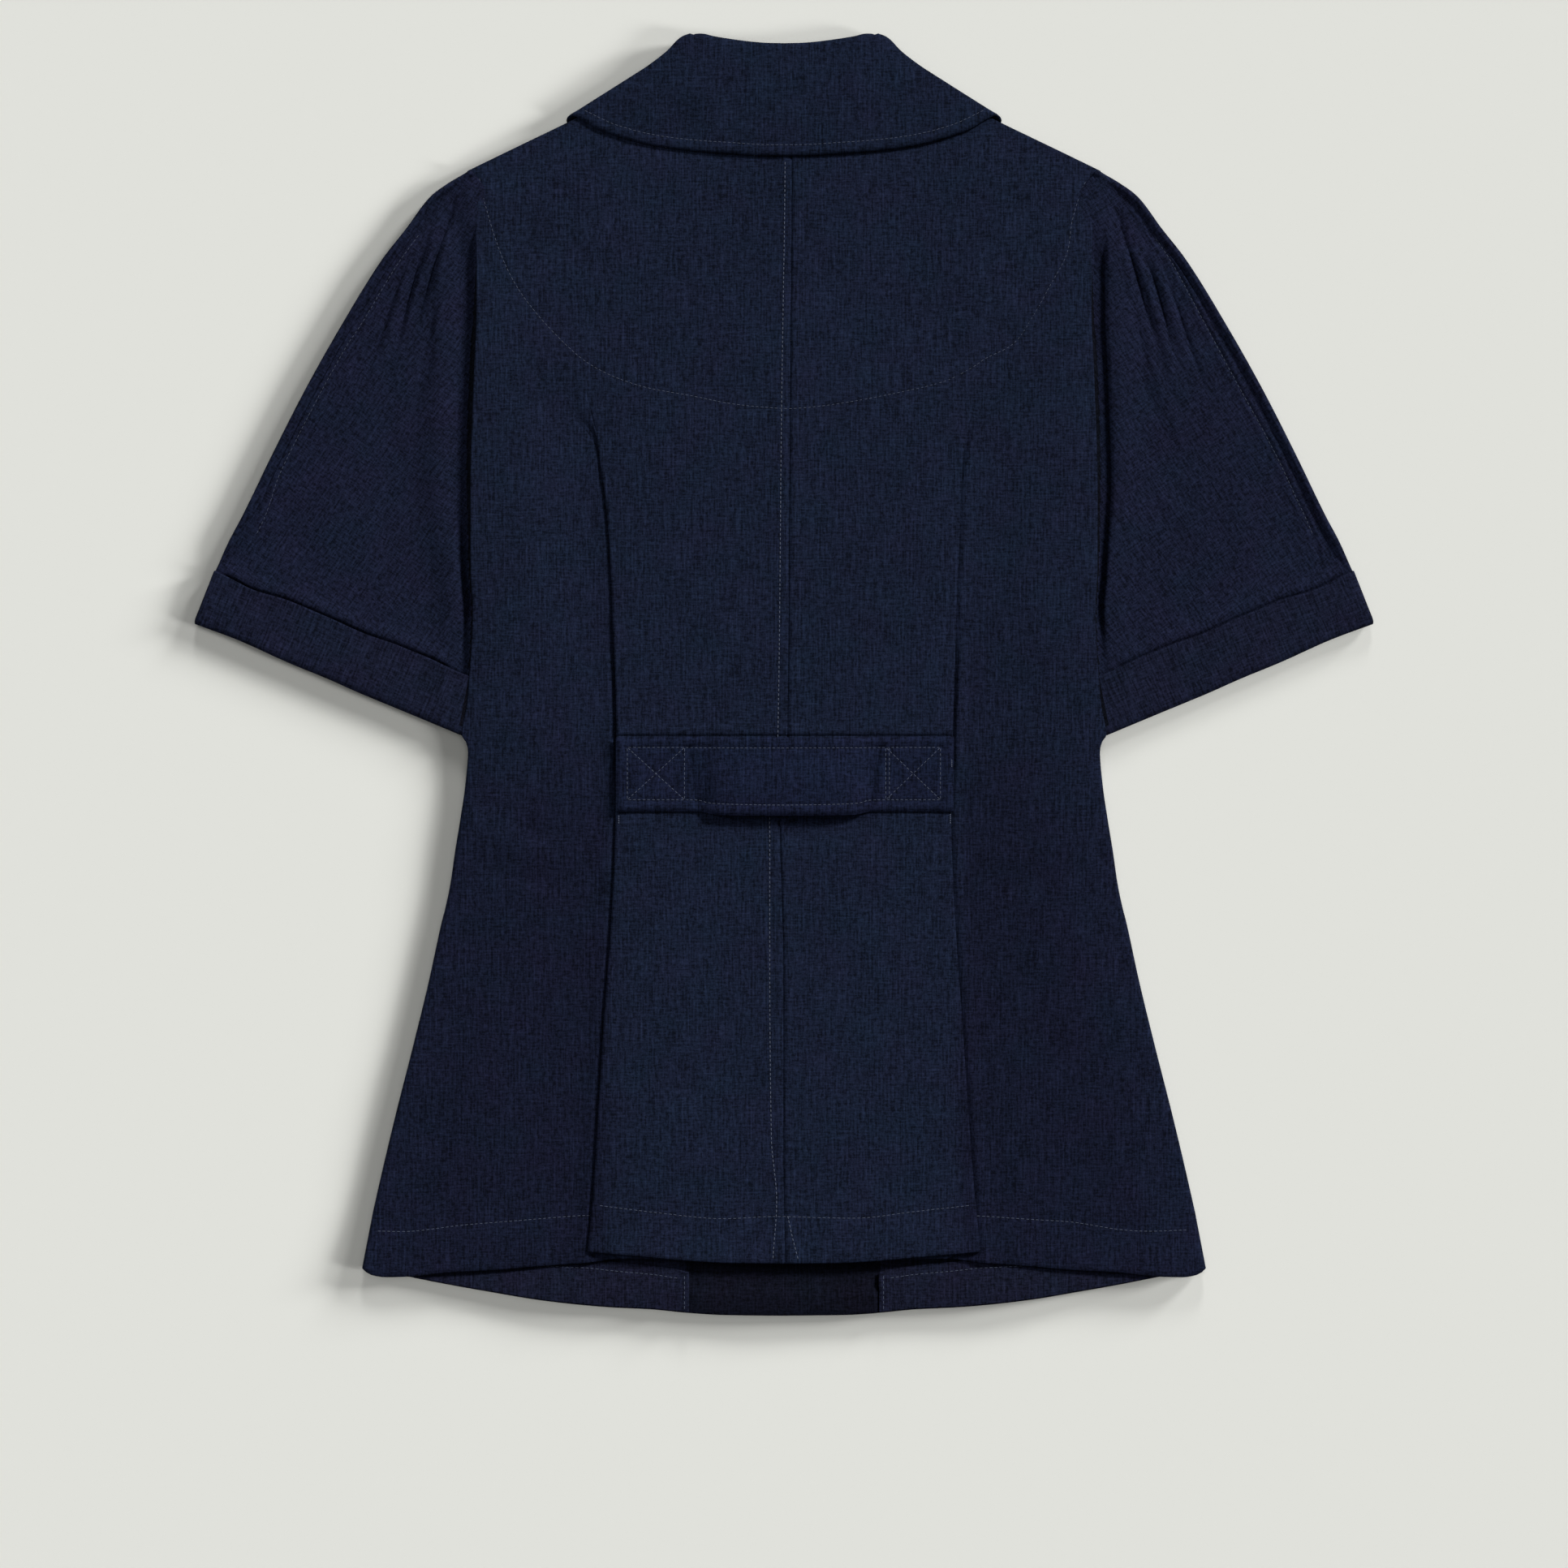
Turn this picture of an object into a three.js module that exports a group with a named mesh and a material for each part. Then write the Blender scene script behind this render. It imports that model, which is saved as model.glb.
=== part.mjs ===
// Short-sleeved blazer of navy linen, laid flat on its front with the back up.
// Millimetres. X runs across the garment (+X is the wearer's right), +Y from
// hem to collar, +Z up from the surface it lies on, z = 0.
// Every cloth piece is a wall of even thickness on a mid-surface grid, and
// the grids come from the small tables below.
import * as THREE from 'three';

// ---- driving dimensions ---------------------------------------------------
const CLOTH = 1.0;          // one layer of linen with its seam allowances
const CUFF_WALL = 1.2;      // turned-up cuff, pressed double
const BELT_WALL = 2.0;      // half-belt, two layers and their turnings
const LAYER = 1.4;          // mid-surface to mid-surface of two layers that touch
const SEAM_GAP = 0.3;       // clear gap where two pieces are sewn together
const WRAP = 53;            // fronts lap past the centre front by this much
const NECK_HALF = 56;       // centre back to high point of shoulder
const HPS_Y = 344;          // high point of shoulder
const NECK_DROP = 17;       // depth of the back neckline
const BREAK_Y = 130;        // lapels start to roll here
const SHOULDER_X = 179.4;   // shoulder tip
const SHOULDER_Y = 284.5;
const BUTTON_D = 20;
const BUTTON_T = 2.7;
const BUTTON_COL = 36;      // button columns either side of the centre front
const BUTTON_ROWS = [96, 6];

// side edge of the body: half width at each level
const EDGE = [
  { y: 284.5, x: 179.4 }, { y: 267.5, x: 175.7 }, { y: 229, x: 173.9 },
  { y: 172, x: 175.5 }, { y: 105, x: 177.3 }, { y: 36, x: 176.2 },
  { y: 1, x: 177.8 }, { y: -31, x: 181.4 }, { y: -42.6, x: 178.7 },
  { y: -82, x: 183.3 }, { y: -137, x: 193.2 }, { y: -211, x: 210.2 },
  { y: -285, x: 228.4 }, { y: -335, x: 239.4 },
];
// box pleat: fold edge on each side, depth turned under, and heights of the
// centre panel, of the side panel beside the pleat and of the side edge
const PLEAT = [
  { y: 284.5, left: 114, right: 111, depth: 0, centre: 6.4, side: 6.0, edge: 4.9 },
  { y: 251, left: 113, right: 110, depth: 0, centre: 6.8, side: 6.3, edge: 4.9 },
  { y: 172, left: 111, right: 108, depth: 0, centre: 7.2, side: 6.9, edge: 4.9 },
  { y: 152, left: 108, right: 105.5, depth: 0, centre: 7.5, side: 5.6, edge: 4.9 },
  { y: 138, left: 106.1, right: 103.2, depth: 4, centre: 7.9, side: 4.4, edge: 4.9 },
  { y: 104, left: 101, right: 100, depth: 9, centre: 8.2, side: 4.3, edge: 4.9 },
  { y: 70, left: 98.3, right: 98.8, depth: 14, centre: 8.3, side: 4.3, edge: 5.2 },
  { y: 31, left: 96.7, right: 97.2, depth: 20, centre: 8.3, side: 4.3, edge: 6.6 },
  { y: -5, left: 95.2, right: 96.2, depth: 24, centre: 8.3, side: 4.3, edge: 8.2 },
  { y: -33, left: 94.6, right: 95.3, depth: 27, centre: 8.3, side: 4.3, edge: 8.2 },
  { y: -46, left: 94.7, right: 95, depth: 28, centre: 8.3, side: 4.3, edge: 6.9 },
  { y: -64, left: 94.9, right: 94.7, depth: 28, centre: 8.3, side: 4.3, edge: 2.8 },
  { y: -82, left: 95.1, right: 94.4, depth: 28, centre: 8.3, side: 4.3, edge: 2.3 },
  { y: -137, left: 97.4, right: 96.6, depth: 32, centre: 8.1, side: 4.1, edge: 2.3 },
  { y: -200, left: 102, right: 100.9, depth: 38, centre: 7.9, side: 3.9, edge: 2.3 },
  { y: -262, left: 105.8, right: 105.2, depth: 43, centre: 7.8, side: 3.8, edge: 2.4 },
  { y: -305, left: 108.5, right: 108.5, depth: 46, centre: 7.7, side: 3.7, edge: 3 },
  { y: -345, left: 111.4, right: 111.6, depth: 49, centre: 7.6, side: 3.6, edge: 3 },
];
const BACK_ROWS = [251, 222, 197, 172, 152, 138, 104, 70, 31, -5, -33, -46, -64, -82, -137, -200, -262, -305];
// centre-back seam line
const CB = [
  { y: 340, x: 4.7 }, { y: 152, x: 3.3 }, { y: -34, x: 2.0 }, { y: -82, x: -2.2 },
  { y: -170, x: -0.3 }, { y: -262, x: -0.3 }, { y: -345, x: 1.0 },
];
// hem of the back and of the fronts
const BACK_HEM = [
  { x: 0, y: -333 }, { x: 30, y: -332.8 }, { x: 54, y: -331.6 }, { x: 81, y: -329 },
  { x: 110, y: -326.6 }, { x: 111, y: -332.8 }, { x: 142, y: -335.1 }, { x: 190, y: -337.9 },
  { x: 214, y: -340.4 }, { x: 228, y: -340 }, { x: 239.4, y: -336 },
];
const FRONT_HEM = [
  { x: 0, y: -362.9 }, { x: 33, y: -362.7 }, { x: 54, y: -361.3 }, { x: 98, y: -358.1 },
  { x: 120, y: -356.3 }, { x: 142, y: -354 }, { x: 166, y: -349.8 }, { x: 190, y: -346.2 },
  { x: 214, y: -341.2 }, { x: 239.4, y: -336 },
];
// sleeve, shoulder to cuff: outer fold edge and hidden underarm edge
const SLEEVE = [
  { ox: 181.5, oy: 283.6, ix: 167, iy: 272 }, { ox: 199.4, oy: 272.1, ix: 163, iy: 252 },
  { ox: 214.1, oy: 253.7, ix: 161, iy: 234 }, { ox: 238.7, oy: 216.9, ix: 160, iy: 200 },
  { ox: 270.2, oy: 161.7, ix: 160, iy: 148 }, { ox: 299.2, oy: 106.5, ix: 160, iy: 92 },
  { ox: 313, oy: 76, ix: 160, iy: 40 }, { ox: 320.6, oy: 58.5, ix: 168.6, iy: 0 },
  { ox: 324.2, oy: 51, ix: 169.8, iy: -9 }, { ox: 330.6, oy: 33.2, ix: 176, iy: -33 },
];
// cuff, fold to upper edge
const CUFF = [
  { ox: 333.8, oy: 30.6, ix: 171.5, iy: -39 }, { ox: 328.8, oy: 43.6, ix: 168.5, iy: -24 },
  { ox: 323.3, oy: 57.4, ix: 165, iy: -6 },
];
// collar from the centre back round the shoulder to its front end:
// neck seam n, roll line r, leaf edge e
const COLLAR = [
  { nx: 0, ny: 327.8, nz: 6.4, rx: 0, ry: 358.6, rz: 7.4, ex: 0, ey: 294.2, ez: 8.5 },
  { nx: 18, ny: 329, nz: 6.4, rx: 17.5, ry: 359.6, rz: 7.4, ex: 30, ey: 295.5, ez: 8.5 },
  { nx: 36, ny: 333.6, nz: 6.2, rx: 35, ry: 361, rz: 7.2, ex: 58.8, ey: 297.9, ez: 8.4 },
  { nx: 48, ny: 339, nz: 5.9, rx: 45.5, ry: 362.2, rz: 6.8, ex: 84.1, ey: 302.4, ez: 8.2 },
  { nx: 53.2, ny: 343.6, nz: 5.2, rx: 49.6, ry: 362.4, rz: 6.2, ex: 104, ey: 309.4, ez: 7.6 },
  { nx: 54.2, ny: 345.4, nz: 4.4, rx: 51.6, ry: 361.9, rz: 5.4, ex: 120.6, ey: 318.1, ez: 6.6 },
  { nx: 54.6, ny: 345.8, nz: 3.4, rx: 52.2, ry: 361, rz: 4.0, ex: 123.6, ey: 316.2, ez: 3.8 },
  { nx: 54.2, ny: 345, nz: 1.6, rx: 51.8, ry: 358.6, rz: 1.0, ex: 122.6, ey: 312.4, ez: 0.6 },
  { nx: 53, ny: 342, nz: 0.6, rx: 51.4, ry: 346, rz: 0.5, ex: 116, ey: 293, ez: 0.5 },
  { nx: 46.6, ny: 328.6, nz: 0.5, rx: 46.9, ry: 326.6, rz: 0.5, ex: 104, ey: 270.4, ez: 0.5 },
];
// lapel from the gorge down to the break point: break line b, outer edge e
const LAPEL = [
  { bx: 45.6, by: 324.2, ex: 84, ey: 288.3 }, { bx: 38, by: 308.7, ex: 111, ey: 258 },
  { bx: 14, by: 261.5, ex: 98, ey: 214 }, { bx: -12, by: 210.5, ex: 62, ey: 166 },
  { bx: -34, by: 167.3, ex: 10, ey: 141 }, { bx: -50, by: 136, ex: -42, ey: 130.5 },
];
// half-belt: stations along it, how far its middle stands off, lower edge
const BELT = [
  { x: -94.6, lift: 0, low: -77 }, { x: -64, lift: 0, low: -77 }, { x: -47, lift: 0.5, low: -77.3 },
  { x: -41, lift: 4, low: -78 }, { x: -34, lift: 6.8, low: -79 }, { x: -14, lift: 7.6, low: -79.3 },
  { x: 14, lift: 7.6, low: -79.3 }, { x: 35, lift: 6.8, low: -79 }, { x: 42, lift: 4, low: -78 },
  { x: 48, lift: 0.5, low: -77.3 }, { x: 64, lift: 0, low: -77 }, { x: 95.4, lift: 0, low: -77 },
];
const BELT_TOP = -35.7;

// ---- colours --------------------------------------------------------------
const linen = (hex, rough = 0.92) => new THREE.MeshStandardMaterial({ color: hex, roughness: rough, metalness: 0 });
const NAVY = 0x181e2f, NAVY_SIDE = 0x151829, NAVY_SLEEVE = 0x171a2b, NAVY_BELT = 0x1b2033, NAVY_IN = 0x11131f;

// ---- helpers --------------------------------------------------------------
const V = (x, y, z) => new THREE.Vector3(x, y, z);
const mix = (a, b, t) => a + (b - a) * t;
const clamp = (v, a, b) => Math.min(b, Math.max(a, v));
const smooth = (t) => { const c = clamp(t, 0, 1); return c * c * (3 - 2 * c); };
// value of one column of a table at a key, linear between rows
function at(table, key, v, column) {
  const up = table[0][key] < table[table.length - 1][key];
  const t = up ? table : [...table].reverse();
  if (v <= t[0][key]) return t[0][column];
  for (let i = 1; i < t.length; i++) {
    if (v <= t[i][key]) {
      return mix(t[i - 1][column], t[i][column], (v - t[i - 1][key]) / (t[i][key] - t[i - 1][key]));
    }
  }
  return t[t.length - 1][column];
}
// closed wall of thickness t about a grid of mid-surface points
function wall(grid, t, ring = false) {
  const R = grid.length, C = grid[0].length;
  const pos = [], idx = [];
  const P = (i, j) => grid[i][ring ? (j + C) % C : clamp(j, 0, C - 1)];
  for (const side of [1, -1]) {
    for (let i = 0; i < R; i++) for (let j = 0; j < C; j++) {
      const du = P(Math.min(i + 1, R - 1), j).clone().sub(P(Math.max(i - 1, 0), j));
      const dv = P(i, j + 1).clone().sub(P(i, j - 1));
      const n = du.cross(dv).normalize();
      const p = P(i, j).clone().addScaledVector(n, side * t / 2);
      pos.push(p.x, p.y, p.z);
    }
  }
  const A = (i, j) => i * C + (j % C), B = (i, j) => R * C + i * C + (j % C);
  const quad = (a, b, c, d) => idx.push(a, b, c, a, c, d);
  const lastJ = ring ? C : C - 1;
  for (let i = 0; i < R - 1; i++) for (let j = 0; j < lastJ; j++) {
    quad(A(i, j), A(i + 1, j), A(i + 1, j + 1), A(i, j + 1));
    quad(B(i, j), B(i, j + 1), B(i + 1, j + 1), B(i + 1, j));
  }
  for (let j = 0; j < lastJ; j++) {
    quad(A(0, j), A(0, j + 1), B(0, j + 1), B(0, j));
    quad(A(R - 1, j), B(R - 1, j), B(R - 1, j + 1), A(R - 1, j + 1));
  }
  if (!ring) for (let i = 0; i < R - 1; i++) {
    quad(A(i, 0), B(i, 0), B(i + 1, 0), A(i + 1, 0));
    quad(A(i, C - 1), A(i + 1, C - 1), B(i + 1, C - 1), B(i, C - 1));
  }
  const g = new THREE.BufferGeometry();
  g.setAttribute('position', new THREE.Float32BufferAttribute(pos, 3));
  g.setIndex(idx);
  g.computeVertexNormals();
  return g;
}
const group = new THREE.Group();
function add(name, geometry, colour, rough) {
  const m = new THREE.Mesh(geometry, linen(colour, rough));
  m.name = name;
  group.add(m);
  return m;
}

// ---- heights of the hidden front layers -----------------------------------
// distance outside a convex polygon given counter-clockwise, 0 inside
function outside(poly, x, y) {
  let d = -1e9;
  for (let i = 0; i < poly.length; i++) {
    const [ax, ay] = poly[i], [bx, by] = poly[(i + 1) % poly.length];
    const ex = bx - ax, ey = by - ay, l = Math.hypot(ex, ey);
    d = Math.max(d, ((x - ax) * ey - (y - ay) * ex) / l);
  }
  return Math.max(0, d);
}
const cover = (poly, x, y, near = 14, far = 40) => 1 - smooth((outside(poly, x, y) - near) / (far - near));
const mirror = (poly) => [...poly].reverse().map(([x, y]) => [-x, y]);
const LAPEL_AREA = [[-54, 130], [10, 138], [112, 214], [128, 314], [54, 365]];
const RIGHT_FRONT = [[-WRAP, -365], [240, -365], [240, -40], [180, 285], [58, 343], [-WRAP, BREAK_Y]];
const BUTTON_AREA = [[-50, -8], [50, -8], [50, 110], [-50, 110]];
const zFrontR = (x, y) => 0.5 + Math.max(LAYER * cover(LAPEL_AREA, x, y), 3.0 * cover(BUTTON_AREA, x, y, 2, 26));
// the left lapel climbs from the surface onto the inside of the right front
const zLapelL = (x, y) => 0.5 + 2 * LAYER * smooth((345 - y + 0.62 * x) / 65);
const zFrontL = (x, y) => 0.5 + Math.max(
  (zLapelL(x, y) + LAYER - 0.5) * cover(mirror(LAPEL_AREA), x, y),
  (zFrontR(x, y) + LAYER - 0.5) * cover(RIGHT_FRONT, x, y, 6, 34));

// ---- back panels ----------------------------------------------------------
const shoulderY = (x) => mix(HPS_Y, SHOULDER_Y, (x - NECK_HALF) / (SHOULDER_X - NECK_HALF));
const backTop = (x) => x < NECK_HALF
  ? HPS_Y - NECK_DROP * Math.sqrt(1 - (x / NECK_HALF) ** 2) - 0.6
  : shoulderY(x);
function backPanel(s) {
  const key = s < 0 ? 'left' : 'right';
  const rows = [];
  const section = (y, top) => {
    const P = at(PLEAT, 'y', y, key), d = at(PLEAT, 'y', y, 'depth');
    const zc = at(PLEAT, 'y', y, 'centre'), zs = at(PLEAT, 'y', y, 'side'), ze = at(PLEAT, 'y', y, 'edge');
    const h = (zc - zs) / 2, x0 = s * at(CB, 'y', y, 'x') + SEAM_GAP / 2;
    const E = at(EDGE, 'y', y, 'x');
    const q = [];
    const inner = P - 1.4;
    const first = top ? [0, 0.17, 0.34, 0.485, 0.76, 1] : [0, 0.17, 0.34, 0.485, 0.76, 1];
    for (const f of first) q.push([mix(x0, inner, f), zc]);
    if (d > 0) {
      q.push([P, zc - h * 0.5], [P - 1.1, zc - h]);
      q.push([P - d / 2 - 0.5, zc - h]);
      q.push([P - d + 1.1, zc - h], [P - d, zc - h * 1.5], [P - d + 1.1, zc - 2 * h]);
    } else {
      for (const f of [0.15, 0.3, 0.5, 0.7, 0.85, 1]) q.push([inner + 14 * f, mix(zc, zs, smooth(f))]);
    }
    const a = d > 0 ? P - 2 : P + 14;
    for (const f of [0.06, 0.35, 0.68, 0.93, 1]) {
      const x = mix(a, E, f);
      q.push([x, mix(zs, ze, smooth((f - 0.1) / 0.85))]);
    }
    return q;
  };
  const topRow = section(SHOULDER_Y, true).map(([x, z]) => {
    const zz = x < NECK_HALF ? mix(6.4, 5.4, (x / NECK_HALF) ** 3) : x < 130 ? mix(5.4, 4.4, (x - NECK_HALF) / 74) : mix(4.4, 4.9, (x - 130) / 50);
    return V(s * x, backTop(x), zz);
  });
  rows.push(topRow);
  const second = section(251, true);
  rows.push(second.map(([x, z], j) => V(mix(topRow[j].x, s * x, 0.5), mix(topRow[j].y, 251, 0.5), mix(topRow[j].z, z, 0.8))));
  for (const y of BACK_ROWS) rows.push(section(y).map(([x, z]) => V(s * x, y, z)));
  const P = at(PLEAT, 'y', -330, key);
  rows.push(section(-330).map(([x, z], j) => V(s * x, j < 8 ? at(BACK_HEM, 'x', Math.min(x, 110), 'y') : at(BACK_HEM, 'x', Math.max(x, 111), 'y'), z)));
  return wall(rows, CLOTH);
}
add('back_left', backPanel(-1), NAVY);
add('back_right', backPanel(1), NAVY);

// ---- front panels ---------------------------------------------------------
const FRONT_TOP = [
  { ex: 178.4, ey: 284, bx: 60, by: 341 }, { ex: 175, ey: 260, bx: 41.5, by: 310 },
  { ex: 173.6, ey: 229, bx: 17, by: 262 }, { ex: 174.4, ey: 197, bx: -7, by: 215 },
  { ex: 175.2, ey: 165, bx: -30, by: 172 },
];
const FRONT_ROWS = [128, 110, 84, 40, -8, -34, -46, -82, -137, -211, -285, -335];
const FRONT_COLS = [-WRAP, -30, 0, 30, 52, 66, 80, 100, 130, 158, 177];
function frontPanel(s, zf) {
  const frac = FRONT_COLS.map((x) => (x + WRAP) / (177 + WRAP));
  const rows = FRONT_TOP.map((r) => frac.map((f) => {
    const x = mix(r.bx, r.ex, f), y = mix(r.by, r.ey, f);
    return V(s * x, y, zf(s * x, y));
  }));
  for (const y of FRONT_ROWS) {
    const E = at(EDGE, 'y', y, 'x');
    rows.push(FRONT_COLS.map((c, j) => {
      const x = j < 8 ? c : mix(100, E, (c - 100) / 77);
      return V(s * x, y > -330 ? y : at(FRONT_HEM, 'x', Math.abs(x), 'y'), zf(s * x, y));
    }));
  }
  return wall(rows, CLOTH);
}
add('front_right', frontPanel(1, zFrontR), NAVY_IN);
add('front_left', frontPanel(-1, zFrontL), NAVY_IN);

// ---- turned-up hem of the fronts ------------------------------------------
function hemStrip(s, zf) {
  const rows = [0.8, 12, 24].map((up) => [54.6, 64, 80, 110, 142, 178, 208, 224].map((x, j) => {
    const y = at(FRONT_HEM, 'x', x, 'y') + up * (x > 200 ? 0.6 : 1) - (x < 70 && up > 20 ? 1.5 : 0);
    return V(s * x, y, zf(s * x, y) + LAYER);
  }));
  return wall(rows, CLOTH);
}
add('front_hem_right', hemStrip(1, zFrontR), NAVY_SIDE);
add('front_hem_left', hemStrip(-1, zFrontL), NAVY_SIDE);

// ---- sleeves --------------------------------------------------------------
const OVERARM = 12;       // overarm seam lies this far in from the outer edge
// height of the lower layer: over the body's front near it, over the cuff
const underBody = (x) => smooth((206 - Math.abs(x)) / 18);
const zSleeveLow = (x, v, cuffFrom = 7) => 0.5 + LAYER * underBody(x) + 1.5 * smooth(v - cuffFrom + 1);
function sleeveRow(r, v) {
  const w = Math.hypot(r.ox - r.ix, r.oy - r.iy);
  const dx = (r.ox - r.ix) / w, dy = (r.oy - r.iy) / w;
  const p = (d, z) => V(r.ix + dx * d, r.iy + dy * d, z);
  return { w, p, low: (d) => zSleeveLow(r.ix + dx * d, v) };
}
const fullness = (f) => 1.4 * Math.sin(Math.PI * clamp(f, 0, 1));
function sleeve(s) {
  const front = [], back = [];
  SLEEVE.forEach((r, v) => {
    const { w, p, low } = sleeveRow(r, v);
    const d = [0, Math.min(22, 0.3 * w), Math.min(46, 0.55 * w)];
    const seam = w - Math.min(OVERARM, 0.25 * w);
    d.push(mix(d[2], seam, 0.5), seam);
    const full = (x) => fullness((x - d[1]) / (w - d[1])) * (v >= 6 ? 0.15 : Math.min(1, w / 90));
    const up = (x) => low(x) + LAYER + full(x);
    const f = d.map((x) => p(x, low(x)));
    f.push(p(w - 1.2, low(w)), p(w, low(w) + LAYER / 2), p(w - 1.2, low(w) + LAYER), p(mix(seam + SEAM_GAP, w, 0.4), up(seam + 5)), p(seam + SEAM_GAP, up(seam)));
    front.push(f.map((q) => V(s * q.x, q.y, q.z)));
    back.push([...d].reverse().map((x) => p(x, up(x))).map((q) => V(s * q.x, q.y, q.z)));
  });
  return { front: wall(front, CLOTH), back: wall(back, CLOTH) };
}
for (const [s, side] of [[1, 'right'], [-1, 'left']]) {
  const g = sleeve(s);
  add(`sleeve_back_${side}`, g.back, NAVY_SLEEVE);
  add(`sleeve_front_${side}`, g.front, NAVY_SLEEVE);
}

// ---- cuffs: flattened rings ------------------------------------------------
function cuff(s) {
  const grid = CUFF.map((r) => {
    const w = Math.hypot(r.ox - r.ix, r.oy - r.iy);
    const dx = (r.ox - r.ix) / w, dy = (r.oy - r.iy) / w;
    const p = (d, z) => V(s * (r.ix + dx * d), r.iy + dy * d, z);
    const lo = (d) => 0.6 + LAYER * underBody(r.ix + dx * d);
    const hi = (d) => lo(d) + 4.6;
    const run = [2.4, 16, 38, 70, 105, 140, w - 8, w - 2.2];
    const lower = run.map((d) => p(d, lo(d)));
    const upper = [...run].reverse().map((d) => p(d, hi(d)));
    return [...lower, p(w - 0.5, lo(w) + 1), p(w, lo(w) + 2.2), p(w - 0.5, lo(w) + 3.4), ...upper,
      p(0.6, lo(0) + 3.4), p(0, lo(0) + 2.2), p(0.6, lo(0) + 1)];
  });
  return wall(grid, CUFF_WALL, true);
}
add('cuff_right', cuff(1), NAVY_SLEEVE);
add('cuff_left', cuff(-1), NAVY_SLEEVE);

// ---- collar ---------------------------------------------------------------
function collarGrid() {
  const section = (r, s) => {
    const front = r.ny === r.ry;
    const rise = r.rz - r.nz, fall = r.ez - r.rz;
    const ux = r.ex - r.rx, uy = r.ey - r.ry;
    const pts = [];
    // stand, from the neck seam to just under the roll
    for (const f of [0, 0.5, 0.9]) pts.push([mix(r.nx, r.rx, f), mix(r.ny, r.ry, f) , mix(r.nz, r.rz - (r.rz > 4.5 ? 1.0 : 0), f)]);
    pts.push([r.rx, r.ry, r.rz]);
    // leaf, from the roll to its edge
    for (const f of [0.06, 0.35, 0.68, 1]) {
      const lift = r.rz > 4.5 ? mix(r.rz + 1.0, r.ez, f) : mix(r.rz, r.ez, f);
      pts.push([r.rx + ux * f, r.ry + uy * f, lift]);
    }
    return pts.map(([x, y, z]) => V(s * x, y, z));
  };
  const left = [...COLLAR].slice(1).reverse().map((r) => section(r, -1));
  const right = COLLAR.map((r) => section(r, 1));
  return [...left, ...right];
}
add('collar', wall(collarGrid(), CLOTH), NAVY);

// ---- lapels ---------------------------------------------------------------
function lapel(s, zf) {
  const rows = LAPEL.map((r) => [0, 0.25, 0.5, 0.75, 1].map((f) => {
    const x = mix(r.bx, r.ex, f), y = mix(r.by, r.ey, f);
    return V(s * x, y, zf(s * x, y));
  }));
  return wall(rows, CLOTH);
}
add('lapel_right', lapel(1, () => 0.5), NAVY);
add('lapel_left', lapel(-1, zLapelL), NAVY);

// ---- half-belt ------------------------------------------------------------
const beltBase = at(PLEAT, 'y', -60, 'centre') + CLOTH / 2 + SEAM_GAP + BELT_WALL / 2;
add('back_belt', wall([0, 0.28, 0.7, 1].map((f) => BELT.map((b) => V(b.x, mix(BELT_TOP, b.low, f),
  beltBase + b.lift * mix(0.72, 1, Math.min(1, f * 2))))), BELT_WALL), NAVY_BELT);

// ---- buttons --------------------------------------------------------------
BUTTON_ROWS.forEach((y, i) => [-1, 1].forEach((s, j) => {
  const r = BUTTON_D / 2, t = BUTTON_T;
  const profile = [[0, 0], [r - 1.2, 0], [r, 0.8], [r, t - 0.8], [r - 1, t], [0, t]].map(([a, b]) => new THREE.Vector2(a, b));
  const g = new THREE.LatheGeometry(profile, 20);
  g.rotateX(Math.PI / 2);
  const b = add(`button_${i * 2 + j + 1}`, g, 0x14161f, 0.45);
  b.position.set(s * BUTTON_COL, y, 0);
}));

export default group;
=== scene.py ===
# Short-sleeved navy linen blazer, laid flat with its back up. Every cloth piece
# is a thin shell on the form of its solid, built from the same named sizes.
import math
import bpy
import numpy as np
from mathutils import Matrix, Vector
from mathutils.bvhtree import BVHTree


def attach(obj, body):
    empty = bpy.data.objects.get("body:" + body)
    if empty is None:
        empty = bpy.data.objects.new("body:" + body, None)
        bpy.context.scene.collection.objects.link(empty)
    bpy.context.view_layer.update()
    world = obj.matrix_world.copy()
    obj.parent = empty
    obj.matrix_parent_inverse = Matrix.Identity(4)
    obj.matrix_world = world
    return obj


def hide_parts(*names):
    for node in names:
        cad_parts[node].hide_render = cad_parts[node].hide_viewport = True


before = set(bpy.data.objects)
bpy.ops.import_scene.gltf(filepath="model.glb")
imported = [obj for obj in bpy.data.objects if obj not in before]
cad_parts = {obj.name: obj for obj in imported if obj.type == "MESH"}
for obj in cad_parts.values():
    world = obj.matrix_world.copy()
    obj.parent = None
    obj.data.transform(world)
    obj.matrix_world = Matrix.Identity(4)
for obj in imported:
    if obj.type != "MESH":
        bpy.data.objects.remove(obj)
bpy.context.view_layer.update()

MM = 0.001
rng = np.random.default_rng(7)

# ---------------------------------------------------------------- sizes, mm
NECK_HALF, HPS_Y, NECK_DROP = 56.0, 344.0, 17.0
SHOULDER_X, SHOULDER_Y = 179.4, 284.5
WRAP, BREAK_Y, LAYER = 53.0, 130.0, 1.4
CLOTH = 0.75          # one layer of linen as it shows at an edge

EDGE = [(284.5, 179.4), (276, 177.2), (267.5, 175.7), (250.9, 174.5), (229, 173.9), (205.9, 173.9), (172, 175.3),
        (105, 177.3), (60.5, 177.2), (36, 176.0), (18, 176.6), (1, 177.9), (-17.7, 179.6), (-29, 181.9), (-34, 182.3),
        (-38, 180.0), (-43, 178.8), (-63.7, 180.6), (-82, 183.3), (-100.5, 186.3), (-119, 189.0), (-134, 192.2),
        (-138, 193.3), (-174, 201.2), (-211, 210.2), (-248, 219.6), (-285, 228.4), (-321, 236.3), (-340, 239.8)]
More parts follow.
